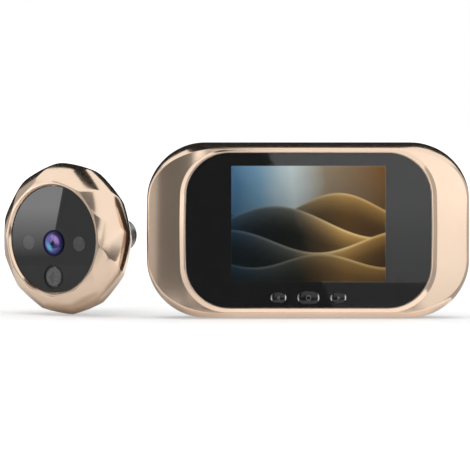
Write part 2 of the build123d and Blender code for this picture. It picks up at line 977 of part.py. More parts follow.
def contact_leaf(x, way):
    """A plate on the bay's end with a bowed strip that presses on the cell."""
    foot = -bay_half_height + seat_gap
    rise = plate_end() - cell_length - seat_gap - foot
    half = contact_height / 2
    outer = [
        ThreePointArc((-half, 0), (0, rise), (half, 0)),
        Line((half, 0), (half - contact_thick, 0)),
        ThreePointArc((half - contact_thick, 0), (0, rise - contact_thick), (contact_thick - half, 0)),
        Line((contact_thick - half, 0), (-half, 0)),
    ]
    bow = extrude(Plane.YZ * make_face(Curve() + outer), amount=contact_strip / 2, both=True)
    plate = Pos(0, 0, contact_thick / 2) * Box(contact_width, contact_height, contact_thick)
    leaf = Pos(0, 0, foot) * (bow + plate)
    return Pos(bay_x + x, cell_depth, 0) * Rot(0, 90 - 90 * way, 0) * leaf


def battery_door():
    door = door_slab(0, 0, door_front, monitor_depth)
    door += door_tongue_slab(0, door_front, door_front + door_tongue_thick)
    door &= rear_block()
    lines = [
        Pos(bay_x, door_grip_z + door_grip_pitch * step)
        * SlotOverall(door_grip_width, door_grip_line)
        for step in range(door_grip_count)
    ]
    return door - slab(Sketch(lines), monitor_depth - door_grip_depth, monitor_depth + overrun)


# Monitor: speaker, power switch and wall bracket


def speaker_frame():
    inner = speaker_radius - speaker_rim
    seat = inner + speaker_ledge
    floor = speaker_front + speaker_floor
    ledge = speaker_back - cone_edge
    magnet_front = speaker_front - speaker_magnet_thick
    outline = [
        (0, magnet_front),
        (speaker_magnet_radius, magnet_front),
        (speaker_magnet_radius, speaker_front),
        (speaker_radius, speaker_front),
        (speaker_radius, speaker_back),
        (seat, speaker_back),
        (seat, ledge),
        (inner, ledge),
        (inner, floor),
        (0, floor),
    ]
    return Pos(speaker_x) * turned(outline)


def speaker_cone():
    edge = speaker_radius - speaker_rim + speaker_ledge - seat_gap
    roll = speaker_radius - 2 * speaker_rim
    top = speaker_back - cone_edge
    floor = top - cone_fall
    outline = [
        (0, floor + cone_dome),
        (coil_radius, floor),
        (roll, top),
        (edge, top),
        (edge, top + cone_thick),
        (roll, top + cone_thick),
        (coil_radius, floor + cone_thick),
        (0, floor + cone_dome + cone_thick),
    ]
    return Pos(speaker_x) * turned(outline)


def speaker_gasket():
    inner = speaker_radius - speaker_rim + speaker_ledge
    return Pos(speaker_x) * ring(speaker_radius, inner, speaker_back, back_inner)


def power_switch():
    body = slab(
        Rectangle(power_body_width, power_body_height), back_inner - power_body_thick, back_inner
    )
    slot = Rectangle(power_slot_width(), power_knob_height + 2 * slide_gap)
    body -= slab(slot, back_inner - power_knob_foot - slide_gap, back_inner + overrun)
    return Pos(power_x, 0, power_z) * body


def power_knob():
    front, back = back_inner - power_knob_foot, monitor_depth - power_knob_sink
    knob = slab(Rectangle(power_knob_width, power_knob_height), front, back)
    grooves = [
        Pos(share * power_knob_width) * Rectangle(power_knob_groove, power_knob_height)
        for share in (-1 / 4, 0, 1 / 4)
    ]
    knob -= slab(Sketch(grooves), back - power_knob_groove, back + overrun)
    return Pos(power_x - power_travel / 2, 0, power_z) * knob


def bracket_tab(side, z):
    """A leg bent forward from the plate's edge, and a foot that hooks outward."""
    edge = side * bracket_half_width
    leg = Pos(edge - side * bracket_sheet / 2, z) * Rectangle(bracket_sheet, bracket_tab_height)
    foot_width = bracket_tab_reach + bracket_sheet
    foot_middle = edge + side * (bracket_tab_reach - bracket_sheet) / 2
    foot = Pos(foot_middle, z) * Rectangle(foot_width, bracket_tab_height)
    return slab(leg, tab_front, bracket_back) + slab(foot, tab_front, tab_front + bracket_sheet)


def wall_bracket():
    outline = RectangleRounded(2 * bracket_half_width, 2 * bracket_half_height, bracket_corner)
    holes = [Pos(side * bracket_screw_spread) * Circle(bracket_screw_radius) for side in (-1, 1)]
    face = outline - Circle(bracket_hole_radius) - Sketch(holes)
    plate = slab(face, bracket_front, bracket_back)
    for side in (-1, 1):
        for spread in (-bracket_tab_spread, bracket_tab_spread):
            plate += bracket_tab(side, spread)
    return Pos(recess_x, 0, bracket_z) * plate


# Camera: shell and face


def facet_radius(depth):
    """Distance of the ridges from the axis, along an ellipse."""
    return camera_radius * sqrt(1 - ((depth - camera_waist) / camera_half_depth) ** 2)


def facet_section(depth):
    """A regular polygon whose corners lie on the ridges at this depth."""
    turn = -facet_twist * (depth / camera_waist) ** facet_twist_power
    polygon = RegularPolygon(facet_radius(depth), facet_count)
    return front_plane(depth) * Rot(0, 0, turn) * polygon


def facet_solid():
    return loft([facet_section(share * camera_back) for share in facet_station_shares])


def camera_shell():
    shell = facet_solid()
    mouth = face_radius + camera_mouth_gap
    shell -= slab(Circle(mouth), -overrun, face_back)
    cavity_back = camera_back - camera_back_wall
    shell -= slab(Circle(camera_cavity_radius), camera_floor_back, cavity_back)
    shell -= slab(Circle(camera_back_opening), cavity_back - overrun, camera_back + overrun)
    bosses = base_screw_places()
    boss_front = camera_back - base_boss_depth
    shell += discs(bosses, base_boss_radius, boss_front, camera_back)
    shell += discs(camera_post_places(), camera_post_radius, face_back, camera_board_front)
    shell -= lens_hole(face_back - overrun, camera_floor_back + overrun)
    cut_front, cut_back = face_back - overrun, camera_floor_back + overrun
    shell -= discs(lamp_places(), lamp_radius + fit_gap, cut_front, cut_back)
    shell -= discs([(0, -bell_drop)], bell_cap_radius + slide_gap, cut_front, cut_back)
    pilot = base_shank_radius + pilot_gap
    seat = base_back - base_head_height
    shell -= discs(bosses, pilot, seat - base_shank_length - fit_gap, camera_back + overrun)
    pilot = board_shank_radius + pilot_gap
    pilot_foot = camera_board_back - board_shank_length - fit_gap
    shell -= discs(camera_post_places(), pilot, pilot_foot, camera_board_front + overrun)
    return shell


def base_screw_places():
    return ring_places(base_screw_count, base_screw_ring, 45)


def lamp_places():
    return [(side * lamp_spread, -lens_drop) for side in (-1, 1)]


def lens_hole(front, back):
    return discs([(0, -lens_drop)], lens_radius + fit_gap, front, back)


def camera_face():
    face = slab(Circle(face_radius), face_recess, face_back)
    face = fillet(front_edges(face), face_round)
    face -= lens_hole(0, camera_floor_back)
    face -= discs(lamp_places(), lamp_window_radius + seat_gap, 0, camera_floor_back)
    return face - discs([(0, -bell_drop)], bell_ring_radius + seat_gap, 0, camera_floor_back)


def lamp_window(side):
    return Pos(side * lamp_spread, 0, -lens_drop) * slab(
        Circle(lamp_window_radius), face_recess, face_back
    )


def infrared_lamp(side):
    """A round-nosed lamp with a flange and two legs that reach the board."""
    back = lamp_front + lamp_length
    body = slab(Circle(lamp_radius), lamp_front, back)
    body = fillet(front_edges(body), lamp_radius / 2)
    body += slab(Circle(lamp_flange_radius), back, back + lamp_flange_thick)
    legs = [(leg * lamp_leg_spread, 0) for leg in (-1, 1)]
    body += discs(legs, lamp_leg_radius, back, camera_board_front)
    return Pos(side * lamp_spread, 0, -lens_drop) * body


# Camera: lens


def lens_barrel():
    outline = [
        (lens_radius, lens_front),
        (lens_radius, lens_head_back),
        (lens_stem_radius, lens_head_back),
        (lens_stem_radius, lens_back),
        (lens_bore_radius, lens_back),
        (lens_bore_radius, glass_seat + throat_depth),
        (throat_radius, glass_seat),
        (front_glass_radius + seat_gap, glass_seat),
        (front_glass_radius + seat_gap, lens_front),
    ]
    return Pos(0, 0, -lens_drop) * turned(outline)


def dome(radius, edge_front, rise, back):
    """A lens with a flat back and a crowned front, whose crown stands out by rise."""
    crown = ThreePointArc(
        (0, edge_front - rise), (radius / sqrt(2), edge_front - rise / 2), (radius, edge_front)
    )
    edges = [
        crown,
        Line((radius, edge_front), (radius, back)),
        Line((radius, back), (0, back)),
        Line((0, back), (0, edge_front - rise)),
    ]
    return revolve(make_face(Curve() + edges), axis=Axis.Y)


def front_glass():
    edge_front = glass_seat - front_glass_edge
    return Pos(0, 0, -lens_drop) * dome(
        front_glass_radius, edge_front, front_glass_dome, glass_seat
    )


def lens_iris():
    front = glass_seat + throat_depth
    radius = lens_bore_radius - seat_gap
    return Pos(0, 0, -lens_drop) * ring(radius, iris_hole_radius, front, front + iris_thick)


def rear_glass():
    back = lens_back - rear_glass_sink
    radius = lens_bore_radius - seat_gap
    return Pos(0, 0, -lens_drop) * dome(radius, back - rear_glass_thick, rear_glass_dome, back)


def lens_holder():
    shelf = lens_back + seat_gap + filter_thick + seat_gap
    foot = camera_board_front - holder_foot_thick
    holder = slab(Circle(holder_radius), holder_front, foot)
    holder += slab(Rectangle(holder_width, holder_width), foot, camera_board_front)
    holder -= slab(Circle(lens_stem_radius + thread_gap), holder_front - overrun, shelf)
    window = filter_width - 2 * filter_shelf
    holder -= slab(Rectangle(window, window), shelf - overrun, camera_board_front + overrun)
    room = sensor_width + 2 * sensor_gap
    sensor_front = camera_board_front - sensor_thick - sensor_gap
    holder -= slab(Rectangle(room, room), sensor_front, camera_board_front + overrun)
    return Pos(0, 0, -lens_drop) * holder


def infrared_filter():
    front = lens_back + seat_gap
    face = Rectangle(filter_width, filter_width)
    return Pos(0, 0, -lens_drop) * slab(face, front, front + filter_thick)


def image_sensor():
    face = Rectangle(sensor_width, sensor_width)
    front = camera_board_front - sensor_thick
    return Pos(0, 0, -lens_drop) * slab(face, front, camera_board_front)


# Camera: bell button


def bell_ring():
    front = face_recess + bell_ring_recess
    return Pos(0, 0, -bell_drop) * ring(bell_ring_radius, bell_ring_inner, front, face_back)


def bell_icon():
    """A plain hand bell: a domed body, a brim and a clapper."""
    size = bell_icon_size
    body = Pos(0, size / 4) * Circle(size / 2) + Pos(0, -size / 8) * Rectangle(size, 3 * size / 4)
    brim = Pos(0, -size / 2) * Rectangle(3 * size / 2, size / 5)
    return body + brim + Pos(0, -7 * size / 8) * Circle(size / 5)


def bell_button():
    front = face_recess - bell_cap_proud
    cap = slab(Circle(bell_cap_radius), front, bell_flange_front)
    cap = fillet(front_edges(cap), bell_cap_round)
    cap -= slab(bell_icon(), front - overrun, front + bell_icon_depth)
    cap += slab(Circle(bell_flange_radius), bell_flange_front, bell_flange_back)
    return Pos(0, 0, -bell_drop) * cap


def bell_switch():
    front = camera_board_front - bell_switch_thick
    body = slab(Rectangle(bell_switch_width, bell_switch_width), front, camera_board_front)
    tip = bell_flange_back + bell_travel + plunger_gap
    return Pos(0, 0, -bell_drop) * (body + slab(Circle(bell_plunger_radius), tip, front))


# Camera: board, base and barrel


def camera_board():
    board = slab(Circle(camera_board_radius), camera_board_front, camera_board_back)
    hole = board_shank_radius + fit_gap
    return board - discs(camera_post_places(), hole, 0, camera_board_back + overrun)


def camera_chip():
    face = Pos(0, camera_chip_z) * Rectangle(camera_chip_width, camera_chip_width)
    return slab(face, camera_board_back, camera_board_back + camera_chip_thick)


def camera_plug():
    face = Pos(0, camera_plug_z) * Rectangle(camera_plug_width, camera_plug_height)
    plug = slab(face, camera_board_back, camera_board_back + camera_plug_thick)
    slot = Pos(0, camera_plug_z) * Rectangle(ribbon_slot_width, ribbon_slot_height)
    back = camera_board_back + camera_plug_thick
    return plug - slab(slot, back - camera_plug_thick / 2, back + overrun)


def camera_board_screws():
    sizes = (board_head_radius, board_head_height, board_shank_radius, board_shank_length)
    return screws(camera_post_places(), camera_board_back, *sizes)


def camera_base():
    base = slab(Circle(base_radius), camera_back, base_back)
    base = fillet(back_edges(base), base_edge_round)
    spigot = camera_back_opening - base_spigot_gap
    base += ring(spigot, spigot - base_spigot_wall, camera_back - base_spigot_depth, camera_back)
    base -= slab(Circle(barrel_root_radius + fit_gap), camera_back - overrun, base_back + overrun)
    seat = base_back - base_head_height
    hole = base_shank_radius + fit_gap
    base -= discs(base_screw_places(), hole, camera_back - overrun, base_back + overrun)
    head = base_head_radius + fit_gap
    base -= discs(base_screw_places(), head, seat, base_back + overrun)
    pilot = barrel_shank_radius + pilot_gap
    pilot_back = camera_back - barrel_flange_thick + barrel_shank_length + fit_gap
    return base - discs(barrel_screw_places(), pilot, camera_back - overrun, pilot_back)


def barrel_screw_places():
    return ring_places(barrel_screw_count, barrel_screw_ring, 90)


def door_barrel():
    """The barrel, thicker where it passes the base and gasket, with a groove behind them."""
    flange_front = camera_back - barrel_flange_thick
    barrel = ring(barrel_radius, barrel_bore_radius, flange_front, barrel_end)
    barrel = chamfer(back_edges(barrel), barrel_chamfer)
    barrel += ring(barrel_root_radius, barrel_bore_radius, flange_front, gasket_back)
    groove_floor = barrel_radius - barrel_groove_depth
    groove_back = gasket_back + barrel_groove_width
    barrel -= ring(barrel_root_radius + overrun, groove_floor, gasket_back, groove_back)
    barrel += ring(barrel_flange_radius, barrel_bore_radius, flange_front, camera_back)
    hole = barrel_shank_radius + fit_gap
    return barrel - discs(barrel_screw_places(), hole, flange_front - overrun, camera_back + overrun)


def barrel_screws():
    sizes = (barrel_head_radius, barrel_head_height, barrel_shank_radius, barrel_shank_length)
    seat = camera_back - barrel_flange_thick
    group = [
        Pos(x, seat, z) * mirror(screw(*sizes), about=Plane.XZ) for x, z in barrel_screw_places()
    ]
    return Compound(children=group)


def base_screws():
    sizes = (base_head_radius, base_head_height, base_shank_radius, base_shank_length)
    return screws(base_screw_places(), base_back - base_head_height, *sizes)


def base_gasket():
    return ring(gasket_radius, barrel_radius + gasket_hole_gap, base_back, gasket_back)


# Whole part


def monitor_pieces():
    pieces = {
        "front_shell": front_shell(),
        "rear_shell": rear_shell(),
        "case_screws": case_screws(),
        "window_panel": window_panel(),
        "window_mask": window_mask(),
        "display_bezel": display_bezel(),
        "display_glass": display_glass(),
        "display_backlight": display_backlight(),
        "display_pad": display_pad(),
        "main_board": main_board(),
        "board_chips": board_chips(),
        "board_screws": board_screws(),
        "ribbon_board": ribbon_board(),
        "ribbon_socket": ribbon_socket(),
        "board_link": board_link(),
        "battery_door": battery_door(),
        "speaker_frame": speaker_frame(),
        "speaker_cone": speaker_cone(),
        "speaker_gasket": speaker_gasket(),
        "power_switch": power_switch(),
        "power_knob": power_knob(),
        "wall_bracket": wall_bracket(),
    }
    for name, x, width, height in key_sizes():
        pieces["key_" + name] = key(name, x, width, height)
        pieces["key_switch_" + name] = key_switch(x)
    plates, leaves = [], []
    for name, x, way in cell_places():
        pieces["battery_cell_" + name] = battery_cell(x, way)
        plates.append(contact_plate(x, way))
        leaves.append(contact_leaf(x, way))
    pieces["plate_contacts"] = Compound(children=plates)
    pieces["leaf_contacts"] = Compound(children=leaves)
    return pieces


def camera_pieces():
    pieces = {
        "camera_shell": camera_shell(),
        "camera_face": camera_face(),
        "lens_barrel": lens_barrel(),
        "front_glass": front_glass(),
        "lens_iris": lens_iris(),
        "rear_glass": rear_glass(),
        "lens_holder": lens_holder(),
        "infrared_filter": infrared_filter(),
        "image_sensor": image_sensor(),
        "bell_ring": bell_ring(),
        "bell_button": bell_button(),
        "bell_switch": bell_switch(),
        "camera_board": camera_board(),
        "camera_chip": camera_chip(),
        "camera_plug": camera_plug(),
        "camera_board_screws": camera_board_screws(),
        "camera_base": camera_base(),
        "base_screws": base_screws(),
        "door_barrel": door_barrel(),
        "barrel_screws": barrel_screws(),
        "base_gasket": base_gasket(),
    }
    for name, side in (("left", -1), ("right", 1)):
        pieces["lamp_window_" + name] = lamp_window(side)
        pieces["infrared_lamp_" + name] = infrared_lamp(side)
    return pieces


def main():
    os.makedirs("parts", exist_ok=True)
    camera = camera_pieces()
    camera_foot = camera["camera_shell"].bounding_box().min.Z
    monitor_place = Pos(monitor_x, monitor_front_y, monitor_height / 2)
    turn = Rot(0, 0, -camera_turn)
    camera_place = Pos(camera_x, camera_y, -camera_foot) * turn * Pos(0, -camera_waist, 0)
    for place, pieces in ((monitor_place, monitor_pieces()), (camera_place, camera)):
        for name, piece in pieces.items():
            export_step(place * piece, "parts/" + name + ".step")


if __name__ == "__main__":
    main()
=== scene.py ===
import bpy
import numpy as np
from math import cos, pi, radians, sin
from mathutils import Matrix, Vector


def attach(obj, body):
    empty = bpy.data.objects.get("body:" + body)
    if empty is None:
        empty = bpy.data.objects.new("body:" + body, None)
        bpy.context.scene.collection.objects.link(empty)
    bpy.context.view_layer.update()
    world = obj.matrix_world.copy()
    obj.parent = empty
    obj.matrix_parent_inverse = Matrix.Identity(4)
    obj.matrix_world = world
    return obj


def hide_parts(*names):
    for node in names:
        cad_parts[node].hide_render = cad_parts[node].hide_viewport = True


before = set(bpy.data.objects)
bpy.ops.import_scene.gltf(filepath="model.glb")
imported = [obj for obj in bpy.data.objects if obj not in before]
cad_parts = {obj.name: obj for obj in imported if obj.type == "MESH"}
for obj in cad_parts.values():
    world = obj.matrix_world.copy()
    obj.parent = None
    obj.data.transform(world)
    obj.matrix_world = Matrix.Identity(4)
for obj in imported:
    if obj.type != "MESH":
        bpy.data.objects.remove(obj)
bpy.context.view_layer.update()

for name in ("Cube", "Light", "Camera"):
    if name in bpy.data.objects:
        bpy.data.objects.remove(bpy.data.objects[name])
print("frame loaded,", len(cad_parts), "nodes")

# Where the two units stand, in millimetres from the floor under the middle of the pair
stand = {
    "monitorX": 27.9, "monitorFront": -29.8, "monitorMiddle": 33.0,
    "cameraX": -64.1, "cameraY": -3.8, "cameraAxis": 28.9956,
    "cameraTurn": radians(35.3), "cameraWaist": 9.2,
}


def addObject(name, data):
    thing = bpy.data.objects.new(name, data)
    bpy.context.scene.collection.objects.link(thing)
    return thing


def monitorPlace(x, depth, z):
    # from millimetres off the middle of the monitor's front face to metres in the shared frame
    x, depth, z = np.broadcast_arrays(x, depth, z)
    places = [x + stand["monitorX"], depth + stand["monitorFront"], z + stand["monitorMiddle"]]
    return np.stack(places, axis=-1) / 1000


def cameraPlace(x, depth, z):
    # the same from the middle of the camera's front, turned about the upright line through its waist
    x, depth, z = np.broadcast_arrays(x, depth, z)
    out, turn = depth - stand["cameraWaist"], stand["cameraTurn"]
    acrossX = x * cos(turn) + out * sin(turn) + stand["cameraX"]
    alongY = out * cos(turn) - x * sin(turn) + stand["cameraY"]
    return np.stack([acrossX, alongY, z + stand["cameraAxis"]], axis=-1) / 1000


# Shader helpers: most add one node and return it or its output

def newMaterial(name):
    material = bpy.data.materials.new(name)
    material.use_nodes = True
    tree = material.node_tree
    return material, tree, tree.nodes["Principled BSDF"]


def setInputs(tree, node, inputs):
    for key, value in inputs.items():
        if isinstance(value, bpy.types.NodeSocket):
            tree.links.new(value, node.inputs[key])
        else:
            node.inputs[key].default_value = value


def addNode(tree, kind, inputs=None, **settings):
    node = tree.nodes.new("ShaderNode" + kind)
    for key, value in settings.items():
        setattr(node, key, value)
    setInputs(tree, node, inputs or {})
    return node


def calc(tree, operation, first, second=0.0, third=0.0):
    node = addNode(tree, "Math", {0: first, 1: second, 2: third}, operation=operation)
    return node.outputs[0]


def mixColour(tree, factor, first, second):
    node = addNode(tree, "Mix", {0: factor, 6: first, 7: second}, data_type="RGBA")
    return node.outputs[2]


def ramp(tree, factor, stops):
    node = addNode(tree, "ValToRGB", {"Fac": factor})
    elements = node.color_ramp.elements
    elements[0].position, elements[1].position = stops[0][0], stops[-1][0]
    for place, _ in stops[1:-1]:
        elements.new(place)
    for element, (place, colour) in zip(elements, stops):
        element.color = (*colour, 1.0)
    return node.outputs[0]


def rescale(tree, value, low, high, toLow, toHigh):
    inputs = {"Value": value, "From Min": low, "From Max": high, "To Min": toLow, "To Max": toHigh}
    return addNode(tree, "MapRange", inputs).outputs[0]


def objectPlace(tree):
    return addNode(tree, "TexCoord").outputs["Object"]


def fromPoint(tree, point):
    # the way from a point of the object to the place that is shaded
    inputs = {0: objectPlace(tree), 1: tuple(point)}
    return addNode(tree, "VectorMath", inputs, operation="SUBTRACT").outputs[0]


def lengthOf(tree, vector):
    return addNode(tree, "VectorMath", {0: vector}, operation="LENGTH").outputs["Value"]


def alongWay(tree, vector, way):
    # how far the vector reaches along the way
    return addNode(tree, "VectorMath", {0: vector, 1: way}, operation="DOT_PRODUCT").outputs["Value"]


def partsOf(tree, vector):
    outputs = addNode(tree, "SeparateXYZ", {0: vector}).outputs
    return outputs[0], outputs[1], outputs[2]


def noise(tree, vector, size, detail=3.0):
    # size is the grain in millimetres
    return addNode(tree, "TexNoise", {"Vector": vector, "Scale": 1000 / size, "Detail": detail}).outputs[0]


def roughFrom(tree, grain, rough):
    # noise lies mostly between these two values; they become the least and the most roughness
    return rescale(tree, grain, 0.3, 0.7, *rough)


# Finishes by material slot. Colours run from low to high in patches. Patches, grain and the height of
# its bumps are in millimetres, and stretch draws the grain out
finishes = {
    "gold_metal": {"low": (0.90, 0.69, 0.53), "high": (0.95, 0.74, 0.575), "patch": 26, "rough": (0.13, 0.19),
                   "grain": 0.5, "height": 0.0004, "metal": 1.0},
    "grey_plastic": {"low": (0.040, 0.037, 0.036), "high": (0.058, 0.054, 0.052), "patch": 18,
                     "rough": (0.42, 0.6), "grain": 0.55, "height": 0.014},
    "black_window": {"low": (0.006, 0.006, 0.007), "high": (0.009, 0.009, 0.010), "patch": 9,
                     "rough": (0.005, 0.02), "grain": 3.0, "height": 0.0, "ior": 2.0},
    "barrelBlue": {"low": (0.014, 0.014, 0.09), "high": (0.03, 0.02, 0.15), "patch": 1.5,
                   "rough": (0.14, 0.22), "grain": 0.4, "height": 0.0004, "metal": 0.8},
    "maskInk": {"low": (0.004, 0.004, 0.0045), "high": (0.006, 0.006, 0.0065), "patch": 9,
                "rough": (0.75, 0.9), "grain": 0.6, "height": 0.0, "ior": 1.15},
    "black_plastic": {"low": (0.012, 0.012, 0.012), "high": (0.018, 0.018, 0.018), "patch": 6,
                      "rough": (0.2, 0.32), "grain": 0.4, "height": 0.002},
    "grey_button": {"low": (0.085, 0.086, 0.088), "high": (0.15, 0.15, 0.152), "patch": 0.9,
                    "rough": (0.4, 0.6), "grain": 0.45, "height": 0.05},
    "display": {"low": (0.02, 0.02, 0.022), "high": (0.03, 0.03, 0.032), "patch": 5, "rough": (0.3, 0.4),
                "grain": 0.5, "height": 0.0},
    "steel": {"low": (0.50, 0.50, 0.51), "high": (0.62, 0.62, 0.63), "patch": 14, "rough": (0.26, 0.42),
              "grain": 0.25, "height": 0.004, "metal": 1.0, "stretch": (0.04, 1.0, 1.0)},
    "barrel_metal": {"low": (0.30, 0.285, 0.27), "high": (0.40, 0.385, 0.365), "patch": 4,
                     "rough": (0.25, 0.4), "grain": 0.3, "height": 0.002, "metal": 1.0},
    "green_board": {"low": (0.012, 0.075, 0.035), "high": (0.02, 0.11, 0.05), "patch": 3,
                    "rough": (0.3, 0.45), "grain": 0.4, "height": 0.004},
    "chip_black": {"low": (0.018, 0.018, 0.018), "high": (0.03, 0.03, 0.03), "patch": 2, "rough": (0.5, 0.65),
                   "grain": 0.15, "height": 0.003},
    "lens_glass": {"low": (0.01, 0.012, 0.04), "high": (0.02, 0.02, 0.07), "patch": 2, "rough": (0.03, 0.06),
                   "grain": 1.0, "height": 0.0},
    "lamp_window": {"low": (0.050, 0.048, 0.049), "high": (0.070, 0.067, 0.068), "patch": 1.4,
                    "rough": (0.08, 0.14), "grain": 0.35, "height": 0.0, "ior": 2.0},
    "battery_skin": {"low": (0.03, 0.09, 0.18), "high": (0.05, 0.13, 0.25), "patch": 8, "rough": (0.22, 0.32),
                     "grain": 0.5, "height": 0.001},
    "soft_rubber": {"low": (0.012, 0.012, 0.012), "high": (0.022, 0.022, 0.022), "patch": 3,
                    "rough": (0.7, 0.85), "grain": 0.3, "height": 0.012},
    "paper_cone": {"low": (0.02, 0.02, 0.02), "high": (0.045, 0.045, 0.045), "patch": 1, "rough": (0.8, 0.95),
                   "grain": 0.25, "height": 0.02},
    "white_knob": {"low": (0.60, 0.60, 0.57), "high": (0.70, 0.70, 0.67), "patch": 2, "rough": (0.35, 0.5),
                   "grain": 0.3, "height": 0.004},
}


patchBand = (0.32, 0.68)  # where a patch's noise turns from the low colour to the high one


def makeFinish(name, low, high, patch, rough, grain, height, metal=0.0, ior=1.46, stretch=(1.0, 1.0, 1.0)):
    material, tree, shader = newMaterial(name)
    place = objectPlace(tree)
    drawn = addNode(tree, "Mapping", {"Vector": place, "Scale": stretch}).outputs[0]
    slow, fine = noise(tree, place, patch), noise(tree, drawn, grain)
    setInputs(tree, shader, {
        "Base Color": ramp(tree, slow, list(zip(patchBand, (low, high)))),
        "Roughness": roughFrom(tree, fine, rough),
        "Metallic": metal, "IOR": ior,
    })
    if height:
        bump = addNode(tree, "Bump", {"Height": fine, "Distance": height / 1000, "Strength": 1.0})
        setInputs(tree, shader, {"Normal": bump.outputs[0]})
    return material


materials = {slot: makeFinish(slot, **finish) for slot, finish in finishes.items()}


# Screen: a calm evening over rolling ridges, of its own design
screen = {
    "middle": (27.9, 35.65), "size": (57.6, 43.2),
    "sky": [(0.0, (0.06, 0.15, 0.25)), (0.16, (0.15, 0.28, 0.38)), (0.40, (0.50, 0.57, 0.56)),
            (0.62, (0.26, 0.20, 0.13)), (1.0, (0.17, 0.08, 0.02))],
    "ridges": [
        {"rise": 0.15, "swing": 0.12, "turns": 6.0, "start": 0.4, "glow": 0.7, "line": 0.6},
        {"rise": 0.02, "swing": 0.14, "turns": 4.6, "start": 2.6, "glow": 0.9, "line": 1.0},
        {"rise": -0.15, "swing": 0.10, "turns": 5.4, "start": 4.4, "glow": 0.6, "line": 0.8},
        {"rise": -0.32, "swing": 0.06, "turns": 7.2, "start": 1.0, "glow": 0.35, "line": 0.5},
    ],
    "slope": [(0.0, (0.003, 0.006, 0.008)), (0.45, (0.007, 0.008, 0.006)), (0.75, (0.08, 0.040, 0.011)),
              (1.0, (0.035, 0.018, 0.006))],
    "crest": [(0.0, (0.02, 0.05, 0.08)), (0.40, (0.10, 0.10, 0.08)), (0.72, (0.60, 0.36, 0.11)),
              (1.0, (0.48, 0.25, 0.06))],
    "line": [(0.0, (0.04, 0.10, 0.15)), (0.45, (0.26, 0.24, 0.18)), (0.75, (1.0, 0.78, 0.38)),
             (1.0, (0.90, 0.62, 0.22))],
    "night": (0.004, 0.006, 0.007, 1.0), "dusk": (-0.1, 0.5), "duskLevel": (0.25, 1.0),
    "hazeSize": 900, "haze": 0.35, "hazeMiddle": 0.17, "ridgeEdge": (-0.004, 0.010),
    "glowDepth": 0.30, "glowPower": 3.0, "lineDepth": 0.035, "linePower": 2.0,
    "base": (0.004, 0.004, 0.004, 1.0), "rough": 0.35, "gloss": 0.05,
}
windowGlass = {"tint": (0.90, 0.91, 0.93, 1.0), "ior": 1.42, "coatedIor": 1.1, "smear": 14,
               "smearBand": (0.4, 0.7), "rough": (0.012, 0.03)}


def within(tree, value, middle, half):
    # 1 where the value is nearer to the middle than half
    return calc(tree, "LESS_THAN", calc(tree, "ABSOLUTE", calc(tree, "SUBTRACT", value, middle)), half)


def makeWindowGlass():
    # clear moulded acrylic with the faintest smears. Over the display it is coated against
    # reflections, for which a low index stands
    material, tree, shader = newMaterial("windowGlass")
    place = objectPlace(tree)
    x, _, z = partsOf(tree, place)
    (middleX, middleZ), (width, height) = screen["middle"], screen["size"]
    coated = calc(tree, "MULTIPLY", within(tree, x, middleX / 1000, width / 2000),
                  within(tree, z, middleZ / 1000, height / 2000))
    smears = noise(tree, place, windowGlass["smear"])
    setInputs(tree, shader, {
        "Base Color": windowGlass["tint"], "Transmission Weight": 1.0,
        "IOR": rescale(tree, coated, 0.0, 1.0, windowGlass["ior"], windowGlass["coatedIor"]),
        "Roughness": rescale(tree, smears, *windowGlass["smearBand"], *windowGlass["rough"]),
    })
    return material


def makeScreen():
    # u and v run from -0.5 to 0.5 across and up the picture. The top of a ridge is
    # rise + swing * sin(turns * u + start); below it the slope's colour takes over, brightest at the crest
    material, tree, shader = newMaterial("screenPicture")
    (middleX, middleZ), (width, height) = screen["middle"], screen["size"]
    scale = (1000 / width, 1.0, 1000 / height)
    shift = (-middleX / width, 0.0, -middleZ / height)
    mapped = addNode(tree, "Mapping", {"Vector": objectPlace(tree), "Scale": scale, "Location": shift})
    u, _, v = partsOf(tree, mapped.outputs[0])
    across = calc(tree, "ADD", u, 0.5)
    haze = calc(tree, "MULTIPLY", noise(tree, mapped.outputs[0], screen["hazeSize"]), screen["haze"])
    skyPlace = calc(tree, "SUBTRACT", calc(tree, "ADD", across, haze), screen["hazeMiddle"])
    dusk = rescale(tree, v, *screen["dusk"], *screen["duskLevel"])
    colour = mixColour(tree, dusk, screen["night"], ramp(tree, skyPlace, screen["sky"]))
    slope, crest = ramp(tree, across, screen["slope"]), ramp(tree, across, screen["crest"])
    line = ramp(tree, across, screen["line"])
    for ridge in screen["ridges"]:
        wave = calc(tree, "SINE", calc(tree, "MULTIPLY_ADD", u, ridge["turns"], ridge["start"]))
        top = calc(tree, "MULTIPLY_ADD", wave, ridge["swing"], ridge["rise"])
        under = calc(tree, "SUBTRACT", top, v)
        inside = rescale(tree, under, *screen["ridgeEdge"], 0.0, 1.0)
        fading = rescale(tree, under, 0.0, screen["glowDepth"], 1.0, 0.0)
        thinning = rescale(tree, under, 0.0, screen["lineDepth"], 1.0, 0.0)
        glow = calc(tree, "POWER", fading, screen["glowPower"])
        edge = calc(tree, "POWER", thinning, screen["linePower"])
        hill = mixColour(tree, calc(tree, "MULTIPLY", glow, ridge["glow"]), slope, crest)
        hill = mixColour(tree, calc(tree, "MULTIPLY", edge, ridge["line"]), hill, line)
        colour = mixColour(tree, inside, colour, hill)
    setInputs(tree, shader, {
        "Base Color": screen["base"], "Roughness": screen["rough"], "Specular IOR Level": screen["gloss"],
        "Emission Color": colour, "Emission Strength": 1.0,
    })
    return material


